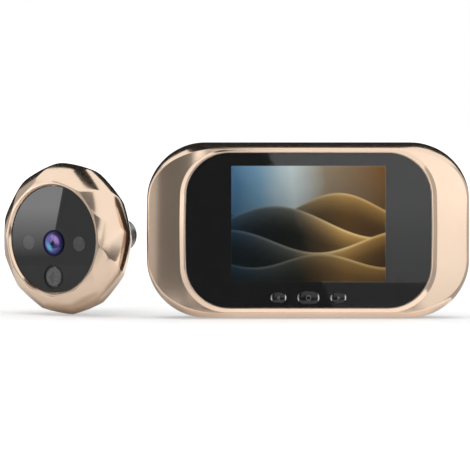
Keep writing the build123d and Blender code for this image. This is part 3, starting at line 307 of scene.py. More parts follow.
# Lens: the coating's colours by the distance from its middle, in shares of its radius; the purple ring round
# the pupil is coating colour and a painted highlight. The arcs are a painted reflection that takes over in a
# ring round the pupil, by the way to the upper right
lens = {
    "radius": 4.2, "drop": 1.4, "edge": 0.8, "rise": 0.7, "back": 2.1,
    "columns": 96, "crownRows": 26, "crownStart": 0.04,
    "rings": [(0.0, (0.05, 0.03, 0.16)), (0.10, (0.004, 0.004, 0.02)), (0.24, (0.006, 0.007, 0.04)),
              (0.34, (0.08, 0.06, 0.42)), (0.58, (0.28, 0.14, 0.70)), (0.76, (0.04, 0.04, 0.30)),
              (0.88, (0.012, 0.014, 0.09)), (1.0, (0.006, 0.007, 0.03))],
    "reflectionArcs": [(0.0, (0.06, 0.55, 0.75)), (0.22, (0.02, 0.08, 0.25)), (0.7, (0.10, 0.06, 0.35)),
             (1.0, (0.75, 0.45, 1.0))],
    "reflectionRing": [(0.24, (0, 0, 0)), (0.38, (1, 1, 1)), (0.66, (1, 1, 1)), (0.82, (0, 0, 0))],
    "reflectionAmount": 0.85, "diagonal": 0.7, "metal": 0.85, "grain": 1.5, "rough": (0.05, 0.09), "coatRough": 0.02,
}


def makeLensCoatingAndReflection():
    # rings of coating, the purple one also a painted highlight; a painted reflection in the ring round the
    # pupil runs from cyan at the lower left to lilac at the upper right
    material, tree, shader = newMaterial("lensCoatingAndReflection")
    centre = cameraPlace(0.0, lens["edge"], -lens["drop"])
    turn = stand["cameraTurn"]
    offset = fromPoint(tree, centre)
    share = calc(tree, "MULTIPLY", lengthOf(tree, offset), 1000 / lens["radius"])
    way = addNode(tree, "VectorMath", {0: offset}, operation="NORMALIZE").outputs[0]
    upRight = tuple(lens["diagonal"] * part for part in (cos(turn), -sin(turn), 1.0))
    tilt = alongWay(tree, way, upRight)
    rings, reflectionRing = ramp(tree, share, lens["rings"]), ramp(tree, share, lens["reflectionRing"])
    # painted reflection: cyan at the lower left to lilac at the upper right, by the way from the middle
    reflectionArcs = ramp(tree, rescale(tree, tilt, -1.0, 1.0, 0.0, 1.0), lens["reflectionArcs"])
    factor = calc(tree, "MULTIPLY", reflectionRing, lens["reflectionAmount"])
    setInputs(tree, shader, {
        "Base Color": mixColour(tree, factor, rings, reflectionArcs), "Metallic": lens["metal"],
        "Roughness": roughFrom(tree, noise(tree, offset, lens["grain"]), lens["rough"]),
        "Coat Weight": 1.0, "Coat Roughness": lens["coatRough"],
    })
    return material


# Key gloss: sizes of the marks in millimetres. The bright metal ends are a painted highlight and run over the
# last part of the key
keyGloss = {
    "face": 0.1, "triangle": 0.42, "ring": 0.85, "ringHalf": 0.15, "ends": (0.6, 0.4), "endHighlight": 0.9,
    # metal is the colour of the painted highlight at the ends of the key
    "black": (0.005, 0.005, 0.005, 1.0), "mark": (0.12, 0.12, 0.12, 1.0), "metal": (0.8, 0.8, 0.8, 1.0),
    "grain": 0.8, "rough": (0.06, 0.12), "ior": 1.5,
}


def makeKeyGloss(name, x, z, width, way):
    # black gloss with bright metal ends, which are painted highlights, and a small grey mark: a ring where
    # way is 0, or a triangle that points left or right
    material, tree, shader = newMaterial(name)
    offset = fromPoint(tree, monitorPlace(x, keyGloss["face"], z))
    acrossX, _, alongZ = partsOf(tree, offset)
    u, v = calc(tree, "MULTIPLY", acrossX, 1000.0), calc(tree, "MULTIPLY", alongZ, 1000.0)
    if way:
        # inside all three sides of a triangle with equal sides, the slanted two taken together by |v|
        side = calc(tree, "MULTIPLY", u, -float(way))
        slant = calc(tree, "ADD", calc(tree, "MULTIPLY", calc(tree, "ABSOLUTE", v), cos(pi / 6)),
                     calc(tree, "MULTIPLY", side, -0.5))
        mark = calc(tree, "LESS_THAN", calc(tree, "MAXIMUM", side, slant), keyGloss["triangle"])
    else:
        square = calc(tree, "ADD", calc(tree, "MULTIPLY", u, u), calc(tree, "MULTIPLY", v, v))
        fromRing = calc(tree, "SUBTRACT", calc(tree, "SQRT", square), keyGloss["ring"])
        mark = calc(tree, "LESS_THAN", calc(tree, "ABSOLUTE", fromRing), keyGloss["ringHalf"])
    # painted highlight: bright metal that grows over the last part of both ends
    highlightStart, highlightFull = (width / 2 - part for part in keyGloss["ends"])
    ends = rescale(tree, calc(tree, "ABSOLUTE", u), highlightStart, highlightFull, 0.0, keyGloss["endHighlight"])
    ink = mixColour(tree, mark, keyGloss["black"], keyGloss["mark"])
    setInputs(tree, shader, {
        "Base Color": mixColour(tree, ends, ink, keyGloss["metal"]), "Metallic": ends,
        "Roughness": roughFrom(tree, noise(tree, offset, keyGloss["grain"]), keyGloss["rough"]),
        "IOR": keyGloss["ior"],
    })
    return material


materials["windowGlass"] = makeWindowGlass()
materials["screenPicture"] = makeScreen()
materials["lensCoatingAndReflection"] = makeLensCoatingAndReflection()

# Nodes that keep their CAD mesh take the finish of their slot, or one of their own
ownFinish = {"window_panel": "windowGlass", "window_mask": "maskInk", "display_glass": "screenPicture",
             "lens_barrel": "barrelBlue"}
slotOf = {name: node.material_slots[0].material.name.split(".")[0] for name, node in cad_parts.items()}
for name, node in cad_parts.items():
    node.material_slots[0].material = materials[ownFinish.get(name, slotOf[name])]
maskRoom = 0.00002  # a hair of room between the mask and the glass it is printed on, in metres
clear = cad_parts["window_mask"].modifiers.new("clear", "DISPLACE")
clear.strength, clear.mid_level = -maskRoom, 0.0
print("finishes made,", len(materials))


# Edges that turn by more stay sharp in the shading
sharpAngle = radians(32)


def addPiece(name, points, body, finish, replaced, ring=True):
    # a grid of points becomes a closed skin. Columns close on themselves; rows do too where
    # ring is true, and otherwise end in a point at the middle of the first and last row
    rows, columns = points.shape[:2]
    index = np.arange(rows * columns).reshape(rows, columns)
    beside = np.roll(index, -1, axis=1)
    if ring:
        corners = [index, beside, np.roll(beside, -1, axis=0), np.roll(index, -1, axis=0)]
    else:
        corners = [index[:-1], beside[:-1], beside[1:], index[1:]]
    quads = np.stack(corners, axis=-1).reshape(-1, 4)
    vertices = points.reshape(-1, 3)
    fans = np.zeros((0, 3), int)
    if not ring:
        first = np.full(columns, len(vertices))
        fans = np.vstack([np.stack([first, beside[0], index[0]], axis=-1),
                          np.stack([first + 1, index[-1], beside[-1]], axis=-1)])
        vertices = np.vstack([vertices, points[[0, -1]].mean(axis=1)])
    # the volume inside, as a sum over the triangles, tells which way the skin faces
    flat = np.vstack([quads[:, [0, 1, 2]], quads[:, [0, 2, 3]], fans])
    seen = vertices - vertices.mean(axis=0)
    volume = (seen[flat[:, 0]] * np.cross(seen[flat[:, 1]], seen[flat[:, 2]])).sum()
    if volume < 0:
        quads, fans = quads[:, ::-1], fans[:, ::-1]
    mesh = bpy.data.meshes.new(name)
    mesh.from_pydata(vertices.tolist(), [], quads.tolist() + fans.tolist())
    mesh.update()
    mesh.shade_smooth()
    mesh.set_sharp_from_angle(angle=sharpAngle)
    mesh.materials.append(finish)
    piece = addObject(name, mesh)
    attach(piece, body)
    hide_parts(replaced)


# Monitor face: shoulder, crease, wings and the rim round the window, in one skin. Sizes are in
# millimetres, and rim and hole give width, height, corner and bulge
face = {
    "width": 121.98, "height": 66.0, "corner": 22.0, "cornerGrowth": 0.75, "bulge": 0.5,
    "shoulderDepth": 9.5, "shoulderRadius": 18.5, "bandDepth": 0.9, "wingStart": 38.0, "wingRadius": 53.0,
    "rim": (96.7, 60.9, 17.6, 1.1), "rimDip": 0.04, "rimBend": 0.25, "rimWall": 0.2, "rimFoot": 0.15,
    "hole": (92.7, 58.7, 16.45, 1.05), "holeLift": 0.2, "holeRound": 0.2, "ledge": 0.9, "ledgeDepth": 2.0,
    "creaseRound": 0.6, "sideCreaseRound": 1.5, "creaseFade": 30.0, "creaseShare": 0.45, "creaseDrop": 0.9,
    "seam": 0.12, "wall": 1.8, "floorDepth": 3.4, "wingWall": 1.6,
    "holeRows": 7, "rimRows": 14, "footRows": 5, "wingRows": 16, "creaseRows": 11, "shoulderRows": 18,
    "wallRows": 6, "floorRows": 10, "creaseTurns": 14,
    "topPoints": 12, "cornerPoints": 30, "sidePoints": 15,
}

# One quarter of an outline in three runs, top, corner and side, mirrored to all four corners
runs = np.concatenate([np.linspace(0, 1, face["topPoints"], endpoint=False),
                       np.linspace(1, 2, face["cornerPoints"], endpoint=False),
                       np.linspace(2, 3, face["sidePoints"])])
shares = np.concatenate([runs[:-1], runs[:0:-1], runs[:-1], runs[:0:-1]])
signX = np.repeat([1.0, 1.0, -1.0, -1.0], len(runs) - 1)
signZ = np.repeat([1.0, -1.0, -1.0, 1.0], len(runs) - 1)


def outline(width, height, corner, bulge, lift=0.0):
    # straight top, round corner, and a side that swells by the bulge along a long arc. The corner's
    # circle lies inside that arc and touches it
    half = height / 2
    arc = (half**2 + bulge**2) / (2 * bulge)
    arcX = width / 2 - arc
    cornerZ = half - corner
    cornerX = arcX + np.sqrt((arc - corner) ** 2 - cornerZ**2)
    start = np.arctan2(cornerZ, cornerX - arcX)
    cornerAngle = pi / 2 + (start - pi / 2) * (shares - 1)
    sideAngle = start * (3 - shares)
    x = np.where(shares < 1, cornerX * shares,
                 np.where(shares < 2, cornerX + corner * np.cos(cornerAngle), arcX + arc * np.cos(sideAngle)))
    z = np.where(shares < 1, half,
                 np.where(shares < 2, cornerZ + corner * np.sin(cornerAngle), arc * np.sin(sideAngle)))
    return signX * x, signZ * z + lift


def casingAt(inset, growth=-1.0):
    # the casing's outline, drawn in all round; its corner's radius grows or shrinks with that
    return outline(face["width"] - 2 * inset, face["height"] - 2 * inset,
                   face["corner"] + growth * inset, face["bulge"])


def shoulderAt(depth):
    # the casing draws in towards the front along a circle: radius - sqrt(radius^2 - reach^2)
    radius, reach = face["shoulderRadius"], face["shoulderDepth"] - depth
    return casingAt(radius - np.sqrt(radius**2 - reach**2), face["cornerGrowth"])


def frontDepth(x):
    # flat in the middle, and the wings fall back along a circle: radius - sqrt(radius^2 - past^2)
    past = np.maximum(np.abs(x) - face["wingStart"], 0)
    return face["bandDepth"] + face["wingRadius"] - np.sqrt(face["wingRadius"] ** 2 - past**2)


def rimAt(inset):
    # the rim's outer edge, drawn in
    width, height, corner, bulge = face["rim"]
    return outline(width - 2 * inset, height - 2 * inset, corner - inset, bulge)


def holeAt(grow):
    # the edge of the hole for the window, grown all round
    width, height, corner, bulge = face["hole"]
    return outline(width + 2 * grow, height + 2 * grow, corner + grow, bulge, face["holeLift"])


def between(first, second, share):
    # first + (second - first) * share
    return tuple(a + (b - a) * share for a, b in zip(first, second))


def eased(count):
    # shares from 0 to 1 that lie closer together at both ends: (1 - cos of 0 to half a turn) / 2
    return (1 - np.cos(np.linspace(0, pi, count))) / 2


def drawnCurve(first, middle, last, count):
    # points on (1 - share)^2 * first + 2 * share * (1 - share) * middle + share^2 * last, which is drawn
    # towards the middle; the first one is left out
    return [(1 - share) ** 2 * first + 2 * share * (1 - share) * middle + share**2 * last
            for share in np.linspace(0, 1, count)[1:]]


def monitorFacePoints():
    # rows run from the ledge behind the window over the rim, its foot, the wings, the crease and the
    # shoulder to the back edge, and inside back to the ledge
    rows = []

    def addRow(place, depth):
        rows.append(monitorPlace(place[0], depth, place[1]))

    dip, ledge = face["rimDip"], face["ledge"]
    addRow(holeAt(-ledge), face["ledgeDepth"])
    addRow(holeAt(0), face["ledgeDepth"])
    # inner edge of the rim, then its top, which bends down and outwards into a slope as steep as it is wide
    for angle in np.linspace(0, pi / 2, face["holeRows"]):
        addRow(holeAt(face["holeRound"] * (1 - cos(angle))), dip + face["holeRound"] * (1 - sin(angle)))
    inner, outer = holeAt(face["holeRound"]), rimAt(0)
    width = np.hypot(outer[0] - inner[0], outer[1] - inner[1])
    drop, bend = np.minimum(width, frontDepth(outer[0]) - dip - face["rimWall"]), face["rimBend"]
    for share in eased(face["rimRows"])[1:]:
        bent = share**2 / (2 * bend) if share < bend else share - bend / 2
        addRow(between(inner, outer, share), dip + drop * bent / (1 - bend / 2))
    # foot of the rim, hollowed where it meets the face
    foot = face["rimFoot"]
    for angle in np.linspace(0, pi / 2, face["footRows"]):
        place = rimAt(-foot * (1 - cos(angle)))
        addRow(place, frontDepth(place[0]) - foot * (1 - sin(angle)))
    # the crease is where the face meets the shoulder; a few turns settle its depth
    creaseDepth = np.full(len(shares), face["bandDepth"])
    for turn in range(face["creaseTurns"]):
        crease = shoulderAt(creaseDepth)
        creaseDepth = frontDepth(crease[0])
    start = rimAt(-foot)
    span = np.hypot(crease[0] - start[0], crease[1] - start[1])
    fade = np.clip(1 - np.abs(crease[1]) / face["creaseFade"], 0, 1)
    fade = fade**2 * (3 - 2 * fade)
    soft = face["creaseRound"] + (face["sideCreaseRound"] - face["creaseRound"]) * fade
    edge = between(crease, start, np.minimum(face["creaseShare"] * span, soft) / span)
    for share in eased(face["wingRows"])[1:]:
        place = between(start, edge, share)
        addRow(place, frontDepth(place[0]))
    # the crease is rounded by a curve drawn towards it from both sides
    below = creaseDepth + face["creaseDrop"] * soft
    first = monitorPlace(edge[0], frontDepth(edge[0]), edge[1])
    middle = monitorPlace(crease[0], creaseDepth, crease[1])
    beyond = shoulderAt(below)
    last = monitorPlace(beyond[0], below, beyond[1])
    rows.extend(drawnCurve(first, middle, last, face["creaseRows"]))
    seam, end = face["seam"], face["shoulderDepth"]
    for share in eased(face["shoulderRows"])[1:]:
        depth = below + (end - seam - below) * share
        addRow(shoulderAt(depth), depth)
    addRow(casingAt(seam), end)
    # inside, back to the ledge under the window
    wall = casingAt(face["wall"])
    for share in np.linspace(0, 1, face["wallRows"]):
        innerDepth = np.maximum(face["floorDepth"], frontDepth(wall[0]) + face["wingWall"])
        addRow(wall, end + (innerDepth - end) * share)
    for share in np.linspace(0, 1, face["floorRows"])[1:]:
        place = between(wall, holeAt(-ledge), share)
        addRow(place, np.maximum(face["floorDepth"], frontDepth(place[0]) + face["wingWall"]))
    return np.stack(rows)


addPiece("monitorFace", monitorFacePoints(), "monitor", materials["gold_metal"],
         "front_shell")
print("monitor face made")

# Keys: crowned caps on flat flanges. Each cap has its place across, width, height and the mark's way
keys = {
    "drop": 25.1, "front": 0.1, "crown": 0.6, "power": 2.3, "skirt": 1.6, "flangeFront": 3.5,
    "flangeBack": 4.1, "flange": 0.6, "backShare": 0.5, "columns": 96, "crownRows": 22, "crownStart": 0.06,
    "caps": {"key_left": (-11.25, 5.9, 3.5, -1), "key_middle": (0.0, 8.2, 4.5, 0),
             "key_right": (11.25, 5.9, 3.5, 1)},
}


def slotReach(angle, width, height):
    # distance from the middle of a round-ended slot to its edge, at an angle: to the flat side, or
    # to the round end where that side is over
    endRadius, run = height / 2, (width - height) / 2
    acrossX, alongZ = np.abs(np.cos(angle)), np.abs(np.sin(angle))
    alongZ = np.maximum(alongZ, 1e-9)  # keeps off a division by nothing
    toFlat = endRadius / alongZ
    toEnd = run * acrossX + np.sqrt(np.maximum(endRadius**2 - (run * alongZ) ** 2, 0))
    return np.where(toFlat * acrossX <= run, toFlat, toEnd)


def keyPoints(x, width, height):
    # the crown follows a rounded dome: depth grows with (1 - (1 - share^p)^(1/p))
    angle = np.linspace(0, 2 * pi, keys["columns"], endpoint=False)
    cap = slotReach(angle, width, height)
    flange = slotReach(angle, width + 2 * keys["flange"], height + 2 * keys["flange"])
    rows = []

    def addRow(reach, depth):
        rows.append(monitorPlace(x + reach * np.cos(angle), depth, reach * np.sin(angle) - keys["drop"]))

    power = keys["power"]
    for share in np.sin(np.linspace(keys["crownStart"], pi / 2, keys["crownRows"])):
        addRow(cap * share, keys["front"] + keys["crown"] * (1 - (1 - share**power) ** (1 / power)))
    for reach, depth in ((cap, keys["skirt"]), (cap, keys["flangeFront"]), (flange, keys["flangeFront"]),
                         (flange, keys["flangeBack"]), (flange * keys["backShare"], keys["flangeBack"])):
        addRow(reach, depth)
    return np.stack(rows)


for keyName, (x, width, height, way) in keys["caps"].items():
    gloss = makeKeyGloss(keyName + "Gloss", x, -keys["drop"], width, way)
    addPiece(keyName + "Cap", keyPoints(x, width, height), keyName, gloss, keyName,
             ring=False)
print("keys made")

# Camera shell: twelve facets that turn as they run back. The mouth's profile gives radius and depth
shell = {
    "facets": 12, "radius": 29.1, "frontHalf": 14.3, "backHalf": 15.0, "waist": 9.2, "back": 16.4,
    "twist": radians(24.0), "twistPower": 0.5, "ridgeSharpness": 200, "flatness": 0.55,
    "mouth": 20.55, "rimRound": 0.4, "backRound": 0.3,
    "mouthProfile": [(20.55, 2.7), (20.55, 1.6), (20.55, 0.98), (20.58, 0.91), (20.84, 0.5), (21.08, 0.13),
                     (21.15, 0.04), (21.25, 0.0)],
    "floorFront": 2.7, "floorBack": 4.2, "cavity": 24.3, "cavityBack": 14.4, "opening": 18.6,
    "lensHole": 5.0, "lensDrop": 1.4, "columnsPerFacet": 20, "rows": 110,
    "cornerDepth": 0.14, "lipRows": 7, "cornerRows": 7, "backRoundRows": 5, "backRows": 6, "cavityRows": 14,
}
facetStep = 2 * pi / shell["facets"]
steps = np.linspace(-1, 1, shell["columnsPerFacet"], endpoint=False)
offsets = facetStep / 2 * np.sin(steps * pi / 2)
around = (np.arange(shell["facets"])[:, None] * facetStep + facetStep / 2 + offsets).ravel()
fromMiddle = np.tile(offsets, shell["facets"])
# A facet is a chord between two ridges, swollen a little towards the circle: radius times
# 1 - flatness * (1 - chord). The chords of neighbouring facets are joined by a sum of high powers,
# which rounds the ridges
sharp = shell["ridgeSharpness"]
neighbours = sum(np.maximum(np.cos(fromMiddle - side * facetStep), 0) ** sharp for side in (-1, 0, 1))
chord = 1 - shell["flatness"] * (1 - cos(facetStep / 2) / neighbours ** (1 / sharp))


def ridgeRadius(depth):
    # the ridges lie on an ellipse, of another length before the waist than behind it:
    # radius * sqrt(1 - ((depth - waist) / half)^2)
    half = shell["frontHalf"] if depth < shell["waist"] else shell["backHalf"]
    return shell["radius"] * np.sqrt(1 - ((depth - shell["waist"]) / half) ** 2)


def shellRow(radius, depth, twistDepth, drop=0.0):
    # one ring, turned back by twist * (depth / waist)^power
    angle = around - shell["twist"] * (twistDepth / shell["waist"]) ** shell["twistPower"]
    return cameraPlace(radius * np.cos(angle), depth, radius * np.sin(angle) - drop)


def cameraShellPoints():
    # rows run from the mouth over the front edge, along the facets and round the back, and inside to
    # the floor with the lens hole
    mouth, back = shell["mouth"], shell["back"]
    rows = [shellRow(radius, depth, 0) for radius, depth in shell["mouthProfile"]]
    lip, edge = shell["mouthProfile"][-1][0], ridgeRadius(0.0) * chord - shell["rimRound"]
    for share in eased(shell["lipRows"])[1:]:
        rows.append(shellRow(lip * (1 - share) + edge * share, 0.0, 0))
    # round the front edge, then follow the facets; rows lie closer near the front, where they turn fast
    firstDepth = shell["cornerDepth"]
    start, corner = rows[-1], shellRow(ridgeRadius(0.0) * chord, 0.0, 0)
    stop = shellRow(ridgeRadius(firstDepth) * chord, firstDepth, firstDepth)
    rows.extend(drawnCurve(start, corner, stop, shell["cornerRows"]))
    lastDepth = back - shell["backRound"]
    for share in np.linspace((firstDepth / back) ** 0.5, (lastDepth / back) ** 0.5, shell["rows"])[1:]:
        depth = back * share**2
        rows.append(shellRow(ridgeRadius(depth) * chord, depth, depth))
    for angle in np.linspace(0, pi / 2, shell["backRoundRows"])[1:]:
        inset = shell["backRound"] * (1 - cos(angle))
        depth = lastDepth + shell["backRound"] * sin(angle)
        rows.append(shellRow(ridgeRadius(lastDepth) * chord - inset, depth, back))
    edge = ridgeRadius(lastDepth) * chord - shell["backRound"]
    for share in eased(shell["backRows"])[1:]:
        rows.append(shellRow(edge * (1 - share) + shell["opening"] * share, back, back))
    # inside: the opening, the cavity, which turns the columns back again, and the floor with the lens hole
    rows.append(shellRow(shell["opening"], shell["cavityBack"], back))
    for share in np.linspace(0, 1, shell["cavityRows"]):
        depth = shell["cavityBack"] + (shell["floorBack"] - shell["cavityBack"]) * share
        rows.append(shellRow(shell["cavity"], depth, back * (1 - share)))
    for share in (0.5, 1.0):
        radius = shell["cavity"] + (shell["lensHole"] - shell["cavity"]) * share
        rows.append(shellRow(radius, shell["floorBack"], 0, shell["lensDrop"] * share))
    rows.append(shellRow(shell["lensHole"], shell["floorFront"], 0, shell["lensDrop"]))
    rows.append(shellRow((shell["lensHole"] + mouth) / 2, shell["floorFront"], 0, shell["lensDrop"] / 2))
    return np.stack(rows)


addPiece("cameraShell", cameraShellPoints(), "camera_unit", materials["gold_metal"],
         "camera_shell")
print("camera shell made")


def turnedPoints(profile, columns, drop=0.0):
    # a profile of (radius, depth) carried round the camera's axis: radius * cos, depth, radius * sin
    radius, depth = np.array(profile, float).T[:, :, None]
    angle = np.linspace(0, 2 * pi, columns, endpoint=False)
    return cameraPlace(radius * np.cos(angle), depth, radius * np.sin(angle) - drop)


# Front glass of the lens: a crown of depth edge - rise * (1 - share^2) on a flat back
crownShares = np.linspace(lens["crownStart"], 1, lens["crownRows"])
crown = [(lens["radius"] * share, lens["edge"] - lens["rise"] * (1 - share**2)) for share in crownShares]
glassProfile = crown + [(lens["radius"], lens["back"]), (lens["radius"] / 2, lens["back"])]
addPiece("lensGlass", turnedPoints(glassProfile, lens["columns"], lens["drop"]), "camera_unit",
         materials["lensCoatingAndReflection"], "front_glass", ring=False)

# Barrel through the door, with a thread cut into it
barrel = {
    "radius": 6.0, "bore": 4.0, "flange": 10.0, "flangeFront": 15.0, "flangeBack": 16.4, "root": 6.2,
    "rootBack": 20.1, "groove": 5.6, "grooveBack": 20.9, "end": 46.49, "chamfer": 0.6, "boreChamfer": 0.3,
    "pitch": 1.25, "threadDepth": 0.38, "threadFade": 0.8, "columns": 80, "rowStep": 0.15,
}


def barrelPoints():
    # thread: the radius dips by a triangle wave of (depth / pitch - angle / turn), fading out at both ends
    angle = np.linspace(0, 2 * pi, barrel["columns"], endpoint=False)
    last = barrel["end"] - barrel["chamfer"]
    depths = np.arange(barrel["grooveBack"], last, barrel["rowStep"])[:, None]
    wave = np.abs(2 * ((depths / barrel["pitch"] - angle / (2 * pi)) % 1) - 1)
    fromEnd = np.minimum(depths - barrel["grooveBack"], last - depths)
    fade = np.clip(fromEnd / barrel["threadFade"], 0, 1)
    threaded = barrel["radius"] - barrel["threadDepth"] * fade * wave
    before = [(barrel["bore"], barrel["flangeFront"]), (barrel["flange"], barrel["flangeFront"]),
              (barrel["flange"], barrel["flangeBack"]), (barrel["root"], barrel["flangeBack"]),
              (barrel["root"], barrel["rootBack"]), (barrel["groove"], barrel["rootBack"]),
              (barrel["groove"], barrel["grooveBack"])]
    after = [(barrel["radius"], last), (barrel["radius"] - barrel["chamfer"], barrel["end"]),
             (barrel["bore"] + barrel["boreChamfer"], barrel["end"]),
             (barrel["bore"], barrel["end"] - barrel["boreChamfer"])]
    thread = cameraPlace(threaded * np.cos(angle), depths, threaded * np.sin(angle))
    front, back = (turnedPoints(profile, barrel["columns"]) for profile in (before, after))
    return np.concatenate([front, thread, back])


addPiece("threadedBarrel", barrelPoints(), "camera_unit", materials["barrel_metal"],
         "door_barrel")
print("lens and barrel made")

# Floor: pale, with the object's shadow and a faint reflection. Lift is its own light as the camera sees
# it, from near the pair to far away, and bounceLift the same as the object sees it. Further off, what the
# object reflects is a level by sectors round the pair (in degrees from straight towards the camera), and
# dark in a flag's strip and in a fainter one beside it, both before the monitor. Flag and strip give a
# middle and a half width along x
floor = {
    "size": 5.0, "sink": 0.0003, "colour": (0.70, 0.70, 0.70, 1.0),
    "sheen": 0.22, "sheenRough": 0.12, "sheenColour": (0.9, 0.9, 0.9, 1.0),
    "lift": (0.38, 0.66), "liftReach": (0.16, 0.60),
    "bounceLift": (0.02, 0.36), "bounceReach": (-0.04, 0.0),
    "middle": (-0.03, -0.02, 0.0), "nearest": 0.12, "reach": (0.20, 1.20), "level": (0.82, 1.25),
    "sectors": [(-180, 0.5), (-109, 0.5), (-107, 1.0), (-85, 1.0), (-83, 0.34), (-70, 0.34), (-64, 0.5),
                (-44, 0.5), (-42, 0.16), (-12, 0.16), (-10, 1.0), (70, 1.0), (72, 0.48), (101, 0.48),
                (103, 0.65), (150, 0.65), (152, 1.0), (180, 1.0)],
    "darkFrom": -0.06, "flagLevel": 0.16, "flag": (-0.003, 0.042), "stripLevel": 0.36, "strip": (0.02, 0.065),
    "stripTo": -0.263,
}


def rayKinds(tree):
    path = addNode(tree, "LightPath")
    bounced = calc(tree, "MAXIMUM", path.outputs["Is Glossy Ray"], path.outputs["Is Transmission Ray"])
    return path.outputs["Is Camera Ray"], bounced


def newStageMaterial(name):
    # the floor and the cards bring their own shaders
    material, tree, shader = newMaterial(name)
    tree.nodes.remove(shader)
    return material, tree, tree.nodes["Material Output"].inputs["Surface"]


def addStagePlane(name, corners, material):
    mesh = bpy.data.meshes.new(name)
    mesh.from_pydata(corners, [], [list(range(len(corners)))])
    mesh.materials.append(material)
    plane = addObject(name, mesh)
    return plane


def makeFloor():
    material, tree, surface = newStageMaterial("floorPaper")
    direct, bounced = rayKinds(tree)
    x, y, _ = partsOf(tree, objectPlace(tree))
    offset = fromPoint(tree, floor["middle"])
    away = lengthOf(tree, offset)
    offsetX, offsetY, _ = partsOf(tree, offset)
    bearing = calc(tree, "ARCTAN2", offsetX, calc(tree, "MULTIPLY", offsetY, -1.0))
    stops = [((angle + 180) / 360, (level, level, level)) for angle, level in floor["sectors"]]
    sector = ramp(tree, rescale(tree, bearing, -pi, pi, 0.0, 1.0), stops)
    unflagged = calc(tree, "MULTIPLY", sector, rescale(tree, away, *floor["reach"], *floor["level"]))
    inFlag = within(tree, x, *floor["flag"])
    inStrip = calc(tree, "MULTIPLY", calc(tree, "GREATER_THAN", y, floor["stripTo"]),
                   within(tree, x, *floor["strip"]))
    dim = calc(tree, "MULTIPLY", calc(tree, "LESS_THAN", y, floor["darkFrom"]),
               calc(tree, "MAXIMUM", inFlag, inStrip))
    dark = rescale(tree, inFlag, 0.0, 1.0, floor["stripLevel"], floor["flagLevel"])
    level = calc(tree, "ADD", calc(tree, "MULTIPLY", dim, dark),
                 calc(tree, "MULTIPLY", calc(tree, "SUBTRACT", 1.0, dim), unflagged))
    paper = addNode(tree, "BsdfDiffuse", {"Color": floor["colour"]})
    sheenInputs = {"Color": floor["sheenColour"], "Roughness": floor["sheenRough"]}
    sheen = addNode(tree, "BsdfAnisotropic", sheenInputs)
    body = addNode(tree, "MixShader", {0: floor["sheen"], 1: paper.outputs[0], 2: sheen.outputs[0]})
    lift = calc(tree, "MULTIPLY", direct, rescale(tree, away, *floor["liftReach"], *floor["lift"]))
    bounceLift = rescale(tree, x, *floor["bounceReach"], *floor["bounceLift"])
    glow = addNode(tree, "Emission", {"Strength": calc(tree, "MULTIPLY_ADD", bounced, bounceLift, lift)})
    lit = addNode(tree, "AddShader", {0: body.outputs[0], 1: glow.outputs[0]})
    mirrored = addNode(tree, "Emission", {"Strength": level})
    far = calc(tree, "MAXIMUM", dim, calc(tree, "GREATER_THAN", away, floor["nearest"]))
    final = addNode(tree, "MixShader", {0: calc(tree, "MULTIPLY", far, bounced), 1: lit.outputs[0],
                                        2: mirrored.outputs[0]})
    tree.links.new(final.outputs[0], surface)
    return material


floorSigns = [(-1, -1), (1, -1), (1, 1), (-1, 1)]
floorCorners = [(x * floor["size"], y * floor["size"], -floor["sink"]) for x, y in floorSigns]
addStagePlane("floorPlane", floorCorners, makeFloor())

# Cards round the object that only show in reflections. The darkest are flags. The world behind them
# has a strength of 1
cards = {
    "windowFlag": {"strength": 0.16, "corners": [(-0.045, -0.93, 0.0), (0.0399, -0.93, 0.0),
                                                 (-0.045, -0.93, 0.1986)]},
    "leftFlag": {"strength": 0.16, "corners": [(-0.84, -0.93, 0.0), (-0.20, -0.93, 0.0), (-0.20, -0.93, 1.0),
                                               (-0.84, -0.93, 1.0)]},
    "overFlag": {"strength": 0.02, "corners": [(-0.16, -0.12, 0.40), (0.0, -0.12, 0.40), (0.0, 0.25, 0.40),
                                               (-0.16, 0.25, 0.40)]},
    "farLeftCard": {"strength": 0.5, "corners": [(-3.47, -0.93, 0.0), (-0.84, -0.93, 0.0),
                                                 (-0.84, -0.93, 1.0), (-3.47, -0.93, 1.5)]},
    "leftBackCard": {"strength": 0.45, "corners": [(-1.2, 0.32, 0.0), (-1.2, 2.0, 0.0), (-1.2, 2.0, 0.9),
                                                   (-1.2, 0.32, 0.9)]},
    "rightCard": {"strength": 0.48, "corners": [(1.2, -0.39, 0.0), (1.2, 0.25, 0.0), (1.2, 0.25, 0.8),
                                               (1.2, -0.39, 0.8)]},
    "rightBackCard": {"strength": 0.65, "corners": [(1.2, 0.25, 0.0), (1.2, 2.0, 0.0), (1.2, 2.0, 0.8),
                                                    (1.2, 0.25, 0.8)]},
    "backFlag": {"strength": 0.02, "corners": [(-0.9, 1.0, 0.06), (0.9, 1.0, 0.06), (0.9, 1.0, 1.4),
                                               (-0.9, 1.0, 1.4)]},
}


def addCard(name, corners, strength):
    # strength is a number, or a function that makes its nodes
    glowing, tree, surface = newStageMaterial(name + "Glow")
    glow = addNode(tree, "Emission", {"Strength": strength(tree) if callable(strength) else strength})
    tree.links.new(glow.outputs[0], surface)
    plane = addStagePlane(name, corners, glowing)
    plane.visible_camera = plane.visible_diffuse = plane.visible_shadow = False


for name, card in cards.items():
    addCard(name, card["corners"], card["strength"])

# A small card beside the camera unit: its left part is bright, with a slanted edge, and fades downwards
discCard = {"middle": (-0.4055, -0.1092, 0.0), "along": (0.2818, -0.9595, 0.0), "from": -0.05, "to": 0.04,
            "height": 0.06, "edgeSlope": 0.193, "edgeStart": -0.00257, "fade": (0.004, 0.028),
            "dark": 0.27, "bright": 1.4}


